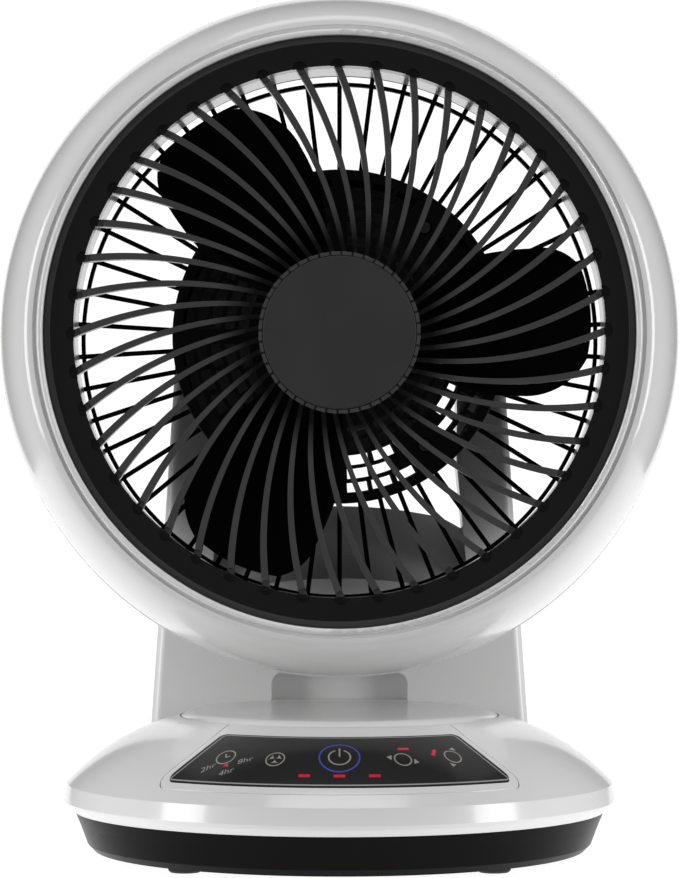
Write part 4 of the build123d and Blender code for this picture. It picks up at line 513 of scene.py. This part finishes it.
def printed(name, shapes, ink):
    """One mesh from a list of strips, each a pair of point rows of the same length."""
    mesh = bmesh.new()
    for shape in shapes:
        low, high = [[mesh.verts.new(on_panel(*p)) for p in row] for row in shape]
        for i in range(len(low) - 1):
            mesh.faces.new([low[i], low[i + 1], high[i + 1], high[i]])
    bmesh.ops.remove_doubles(mesh, verts=mesh.verts, dist=SAME_POINT)
    bmesh.ops.recalc_face_normals(mesh, faces=mesh.faces)
    if sum(face.normal.z for face in mesh.faces) < 0:
        bmesh.ops.reverse_faces(mesh, faces=mesh.faces)
    data = bpy.data.meshes.new(name)
    mesh.to_mesh(data)
    mesh.free()
    add_print(name, data, ink)


print("panel has", len(panel_mesh.faces), "faces to catch the print")

# %% [markdown]
# The symbols are grey, and the ring round the power sign is a lit blue. Each ink gives off a little
# of its own colour, so the print reads on the black panel although little light reaches it.

# %% Inks
def ink(name, tone, glow):
    sheet = Finish(name)
    speck = noise(sheet, place(sheet), scale=5000, detail=1)
    colour = blend(sheet, speck, (*[c * 0.85 for c in tone], 1), (*[c * 1.1 for c in tone], 1))
    return paint(sheet, colour, speck * 0.15 + 0.35, Emission_Color=(*tone, 1), Emission_Strength=glow)


GREY_INK = ink("grey_ink", (0.25, 0.235, 0.215), 0.25)
BORDER_INK = ink("border_ink", (0.2, 0.2, 0.2), 0.55)
BLUE_INK = ink("lit_blue_ring", (0.02, 0.035, 0.22), 0.8)
print("inks made")

# %% [markdown]
# Every symbol is made of three flat shapes: a round line, a straight bar and a small triangle. Each
# is a strip between two rows of points, in millimetres, so a single function can lay any of them
# on the dome.

# %% Flat shapes in millimetres
ARC_STEP = 6  # degrees between the points of an arc
ARROW_HALF = 0.75  # half the width of an arrow's foot, as a share of its length
BLUNT_TIP = 0.001  # keeps the four corners of an arrow's last face apart


def arc_row(centre, radius, start, stop):
    steps = ceil((stop - start) / ARC_STEP)
    turns = [radians(start + (stop - start) * i / steps) for i in range(steps + 1)]
    return [(centre[0] + radius * cos(t), centre[1] + radius * sin(t)) for t in turns]


def loop(centre, radius, line, start=0, stop=360):
    """A round line, drawn between two arcs."""
    return [arc_row(centre, radius + side * line / 2, start, stop) for side in (-1, 1)]


def bar(first, last, line):
    along = Vector(last) - Vector(first)
    side = Vector((-along.y, along.x)).normalized() * (line / 2)
    ends = [Vector(first), Vector(first) + along / 2, Vector(last)]
    return ([tuple(p - side) for p in ends], [tuple(p + side) for p in ends])


def arrow(centre, towards, size):
    """A small triangle that points away along a direction in degrees."""
    turn = radians(towards)
    ahead, side = Vector((cos(turn), sin(turn))), Vector((-sin(turn), cos(turn)))
    tip = Vector(centre) + ahead * size
    left = Vector(centre) + side * size * ARROW_HALF
    right = Vector(centre) - side * size * ARROW_HALF
    return ([tuple(left), tuple((left + tip) / 2), tuple(tip)],
            [tuple(right), tuple((right + tip) / 2), tuple(tip + ahead * BLUNT_TIP)])


print("arcs, bars and arrows ready")

# %% [markdown]
# The five touch symbols: a clock for the timer, a small propeller for the speed, the power sign
# in a lit ring, and two rings with arrows for the left-right swing and the up-down tilt. Their
# middles are places on the panel as seen from above, and a vane of the propeller bends because
# its direction turns with the distance from the middle.

# %% Touch symbols
CLOCK, SPEED, POWER = (-43.0, -78.3), (-24.2, -86.1), (0.0, -87.9)
SWING, LIFT = (23.9, -86.3), (42.9, -78.0)
THIN, BOLD = 0.5, 0.6
CLOCK_RADIUS, SPEED_RADIUS, DIAL_RADIUS = 3.6, 3.5, 3.2
SIGN_RADIUS, RING_RADIUS = 4.1, 7.6
SIGN_FROM, SIGN_TO = 112, 428  # the power sign's arc, open at the top
ARROW_AT = 4.3  # from a dial's middle to an arrow's foot
VANE_TURNS = (20, 140, 260)
VANE_RADII = (0.4, 0.9, 1.4, 1.9, 2.3, 2.6)
VANE_BEND = 14  # degrees for each millimetre outwards


def moved(centre, dx, dy):
    return (centre[0] + dx, centre[1] + dy)


def around(centre, radius, degrees):
    return moved(centre, radius * cos(radians(degrees)), radius * sin(radians(degrees)))


hands = moved(CLOCK, 0, -0.2)
clock = [loop(CLOCK, CLOCK_RADIUS, THIN), bar(hands, moved(CLOCK, 0, 1.9), THIN),
         bar(hands, moved(CLOCK, 1.6, -0.2), THIN)]
propeller = [loop(SPEED, SPEED_RADIUS, THIN)]
for turn in VANE_TURNS:
    propeller.append([[around(SPEED, r, turn + bend * r) for r in VANE_RADII]
                      for bend in (-VANE_BEND, VANE_BEND)])
power = [loop(POWER, SIGN_RADIUS, BOLD, SIGN_FROM, SIGN_TO),
         bar(moved(POWER, 0, 0.2), moved(POWER, 0, 5.2), BOLD)]
swing = [loop(SWING, DIAL_RADIUS, THIN)]
swing += [arrow(around(SWING, ARROW_AT, way), way, 1.9) for way in (0, 180)]
lift = [loop(LIFT, DIAL_RADIUS, THIN)]
lift += [arrow(around(LIFT, ARROW_AT, way), way, 1.7) for way in (90, 270)]
printed("touch_symbols", clock + propeller + power + swing + lift, GREY_INK)
printed("power_ring", [loop(POWER, RING_RADIUS, BOLD)], BLUE_INK)
print("symbols printed")

# %% [markdown]
# The timer marks are short words in slanted letters. A text object is turned into a mesh and
# dropped on the panel like the symbols, which saves drawing each letter from strips.

# %% Timer marks
LETTER_HEIGHT = 3.4
LETTER_WIDTH = 1.25  # how much the letters are drawn out sideways
LETTER_LEAN = 0.15
LETTER_STEPS = 4


def marks(name, words, centre, turn):
    """Words set round a middle, in mm, and turned by some degrees."""
    curve = bpy.data.curves.new(name, "FONT")
    curve.body = words
    curve.align_x, curve.align_y = "CENTER", "CENTER"
    curve.size = LETTER_HEIGHT
    curve.shear = LETTER_LEAN
    curve.resolution_u = LETTER_STEPS
    letters = bpy.data.objects.new(name, curve)
    bpy.context.scene.collection.objects.link(letters)
    graph = bpy.context.evaluated_depsgraph_get()
    flat = bpy.data.meshes.new_from_object(letters.evaluated_get(graph))
    bpy.data.objects.remove(letters)
    t = radians(turn)
    for vertex in flat.vertices:
        x, y = vertex.co.x * LETTER_WIDTH, vertex.co.y
        vertex.co = on_panel(centre[0] + x * cos(t) - y * sin(t), centre[1] + x * sin(t) + y * cos(t))
    add_print(name, flat, GREY_INK)


marks("mark_2hr", "2hr", (-49.8, -81.2), 5)
marks("mark_4hr", "4hr", (-42.8, -86.7), 0)
marks("mark_8hr", "8hr", (-35.7, -83.4), 3)
print("timer marks printed")

# %% [markdown]
# A thin grey line runs round the panel just inside its edge. Its path is the panel's own plan,
# two arcs round the middle of the base and two slanting, slightly bowed sides, set in by a
# millimetre or two.

# %% Plan of the border line
UPPER_RADIUS, LOWER_RADIUS = 73.9, 102.4
UPPER_HALF, LOWER_HALF = 44.7, 67.0
SIDE_BOW = 2.4
SIDE_MARGIN = 0.7  # the line keeps this much more off the sides than off the arcs
PLAN_STEPS = 40


def plan_arc(radius, half_turn):
    """Points round the middle of the base, from left to right in front of it."""
    turns = [half_turn * k / PLAN_STEPS for k in range(-PLAN_STEPS, PLAN_STEPS + 1)]
    return [(radius * sin(t), -radius * cos(t)) for t in turns]


def panel_path(inset):
    """Points all round the panel, this far inside its edge, in mm."""
    upper, lower = UPPER_RADIUS + inset, LOWER_RADIUS - inset
    top, foot = [Vector((x, -sqrt(r * r - x * x)))
                 for x, r in ((UPPER_HALF, UPPER_RADIUS), (LOWER_HALF, LOWER_RADIUS))]
    inward = Vector((foot.y - top.y, top.x - foot.x)).normalized()
    side = []
    for i in range(PLAN_STEPS + 1):
        t = i / PLAN_STEPS
        depth = 4 * t * (1 - t) * SIDE_BOW + inset + SIDE_MARGIN
        side.append(top.lerp(foot, t) + inward * depth)
    first_turn, last_turn = [atan2(p.x, -p.y) for p in (side[0], side[-1])]
    right = [tuple(p) for p in side if upper < p.length < lower]
    left = [(-x, y) for x, y in reversed(right)]
    return plan_arc(upper, first_turn) + right + plan_arc(lower, last_turn)[::-1] + left


print("border plan has", len(panel_path(0)), "points")

# %% [markdown]
# The plan has sharp corners and uneven steps. Walking along it in equal steps and then averaging
# each point with its neighbours a few times wears the corners round. Four tangent arcs would do
# that too, with more geometry to work out.

# %% Border line
BORDER_POINTS = 420
BORDER_PASSES = 9
BORDER_INSET = 1.1
BORDER_WIDTH = 0.5


def evened(path):
    """The same closed path with even steps and its corners worn round."""
    ends = path[1:] + path[:1]
    lengths = [(Vector(b) - Vector(a)).length for a, b in zip(path, ends)]
    step, walked, spots, k = sum(lengths) / BORDER_POINTS, 0.0, [], 0
    for i in range(BORDER_POINTS):
        while walked + lengths[k] < i * step:
            walked += lengths[k]
            k += 1
        spots.append(Vector(path[k]).lerp(Vector(ends[k]), (i * step - walked) / lengths[k]))
    for _ in range(BORDER_PASSES):
        spots = [(spots[i - 1] + spots[i] * 2 + spots[(i + 1) % BORDER_POINTS]) / 4
                 for i in range(BORDER_POINTS)]
    return spots


def ribbon(spots, line):
    """A closed line of even width along the spots."""
    low, high = [], []
    for i in range(len(spots) + 1):
        before, here, after = [spots[(i + k) % len(spots)] for k in (-1, 0, 1)]
        along = (after - before).normalized()
        side = Vector((-along.y, along.x)) * (line / 2)
        low.append(tuple(here - side))
        high.append(tuple(here + side))
    return low, high


printed("border_line", [ribbon(evened(panel_path(BORDER_INSET)), BORDER_WIDTH)], BORDER_INK)
print("border printed")

# %% [markdown]
# ## Floor, backdrop and light
#
# The fan stands on a pale floor that curves up behind it, so no edge of the table shows. The
# floor ends just in front of the fan, because black plastic shows what lies in front of it and
# that has to be dark. The paper itself glows a little, so it stays white without a shadow.

# %% Floor and backdrop
PAPER_FRONT, PAPER_BACK = -0.14, 1.6
PAPER_TOP = 1.1
PAPER_HALF = 0.55
PAPER_BEND = 0.6


def backdrop():
    mesh = bmesh.new()
    bend_start = PAPER_BACK - PAPER_BEND
    line = [(PAPER_FRONT, 0), (bend_start, 0)]
    for degrees in range(ARC_STEP, 91, ARC_STEP):
        t = radians(degrees)
        line.append((bend_start + PAPER_BEND * sin(t), PAPER_BEND - PAPER_BEND * cos(t)))
    line.append((PAPER_BACK, PAPER_TOP))
    rows = [[mesh.verts.new((x, y, z)) for y, z in line] for x in (-PAPER_HALF, PAPER_HALF)]
    for i in range(len(line) - 1):
        mesh.faces.new([rows[0][i], rows[1][i], rows[1][i + 1], rows[0][i + 1]])
    data = bpy.data.meshes.new("backdrop")
    mesh.to_mesh(data)
    mesh.free()
    for face in data.polygons:
        face.use_smooth = True
    data.materials.append(pale_paper())
    piece = bpy.data.objects.new("backdrop", data)
    bpy.context.scene.collection.objects.link(piece)


def pale_paper():
    sheet = Finish("pale_paper")
    mottle = noise(sheet, place(sheet), scale=3)
    return paint(sheet, blend(sheet, mottle, grey(0.20), grey(0.22)), 0.9,
                 Emission_Color=(1, 1, 1, 1), Emission_Strength=0.96)


backdrop()
print("backdrop ready")

# %% [markdown]
# A tall soft window stands at each side, a little ahead of the fan, and draws the bright edges of
# the white shells. A panel hangs above and lights the top of the head and the base. The room
# itself is dim, and nothing shines from the front, so the black grille keeps its depth.

# %% Lights
def soft_light(name, where, aim, size, power):
    lamp = bpy.data.lights.new(name, "AREA")
    lamp.shape = "RECTANGLE"
    lamp.size, lamp.size_y = size
    lamp.energy = power
    holder = bpy.data.objects.new(name, lamp)
    holder.location = where
    holder.rotation_euler = (Vector(aim) - Vector(where)).to_track_quat("-Z", "Y").to_euler()
    bpy.context.scene.collection.objects.link(holder)


MIDDLE = (0, 0, 0.17)
WINDOW_SIZE, WINDOW_WATTS = (0.5, 1.0), 10.5
TOP_SIZE, TOP_WATTS = (0.9, 0.7), 5
ROOM_LIGHT = 0.15
for name, x in (("left_window", -1.3), ("right_window", 1.3)):
    soft_light(name, (x, -0.6, 0.3), MIDDLE, WINDOW_SIZE, WINDOW_WATTS)
soft_light("top_panel", (0, -0.45, 1.4), MIDDLE, TOP_SIZE, TOP_WATTS)
surround = bpy.data.worlds.new("dim_room")
surround.use_nodes = True
room = surround.node_tree.nodes["Background"].inputs
room["Color"].default_value = (1, 1, 1, 1)
room["Strength"].default_value = ROOM_LIGHT
bpy.context.scene.world = surround
bpy.context.scene.view_settings.view_transform = "Standard"
print("lights ready")

# %% [markdown]
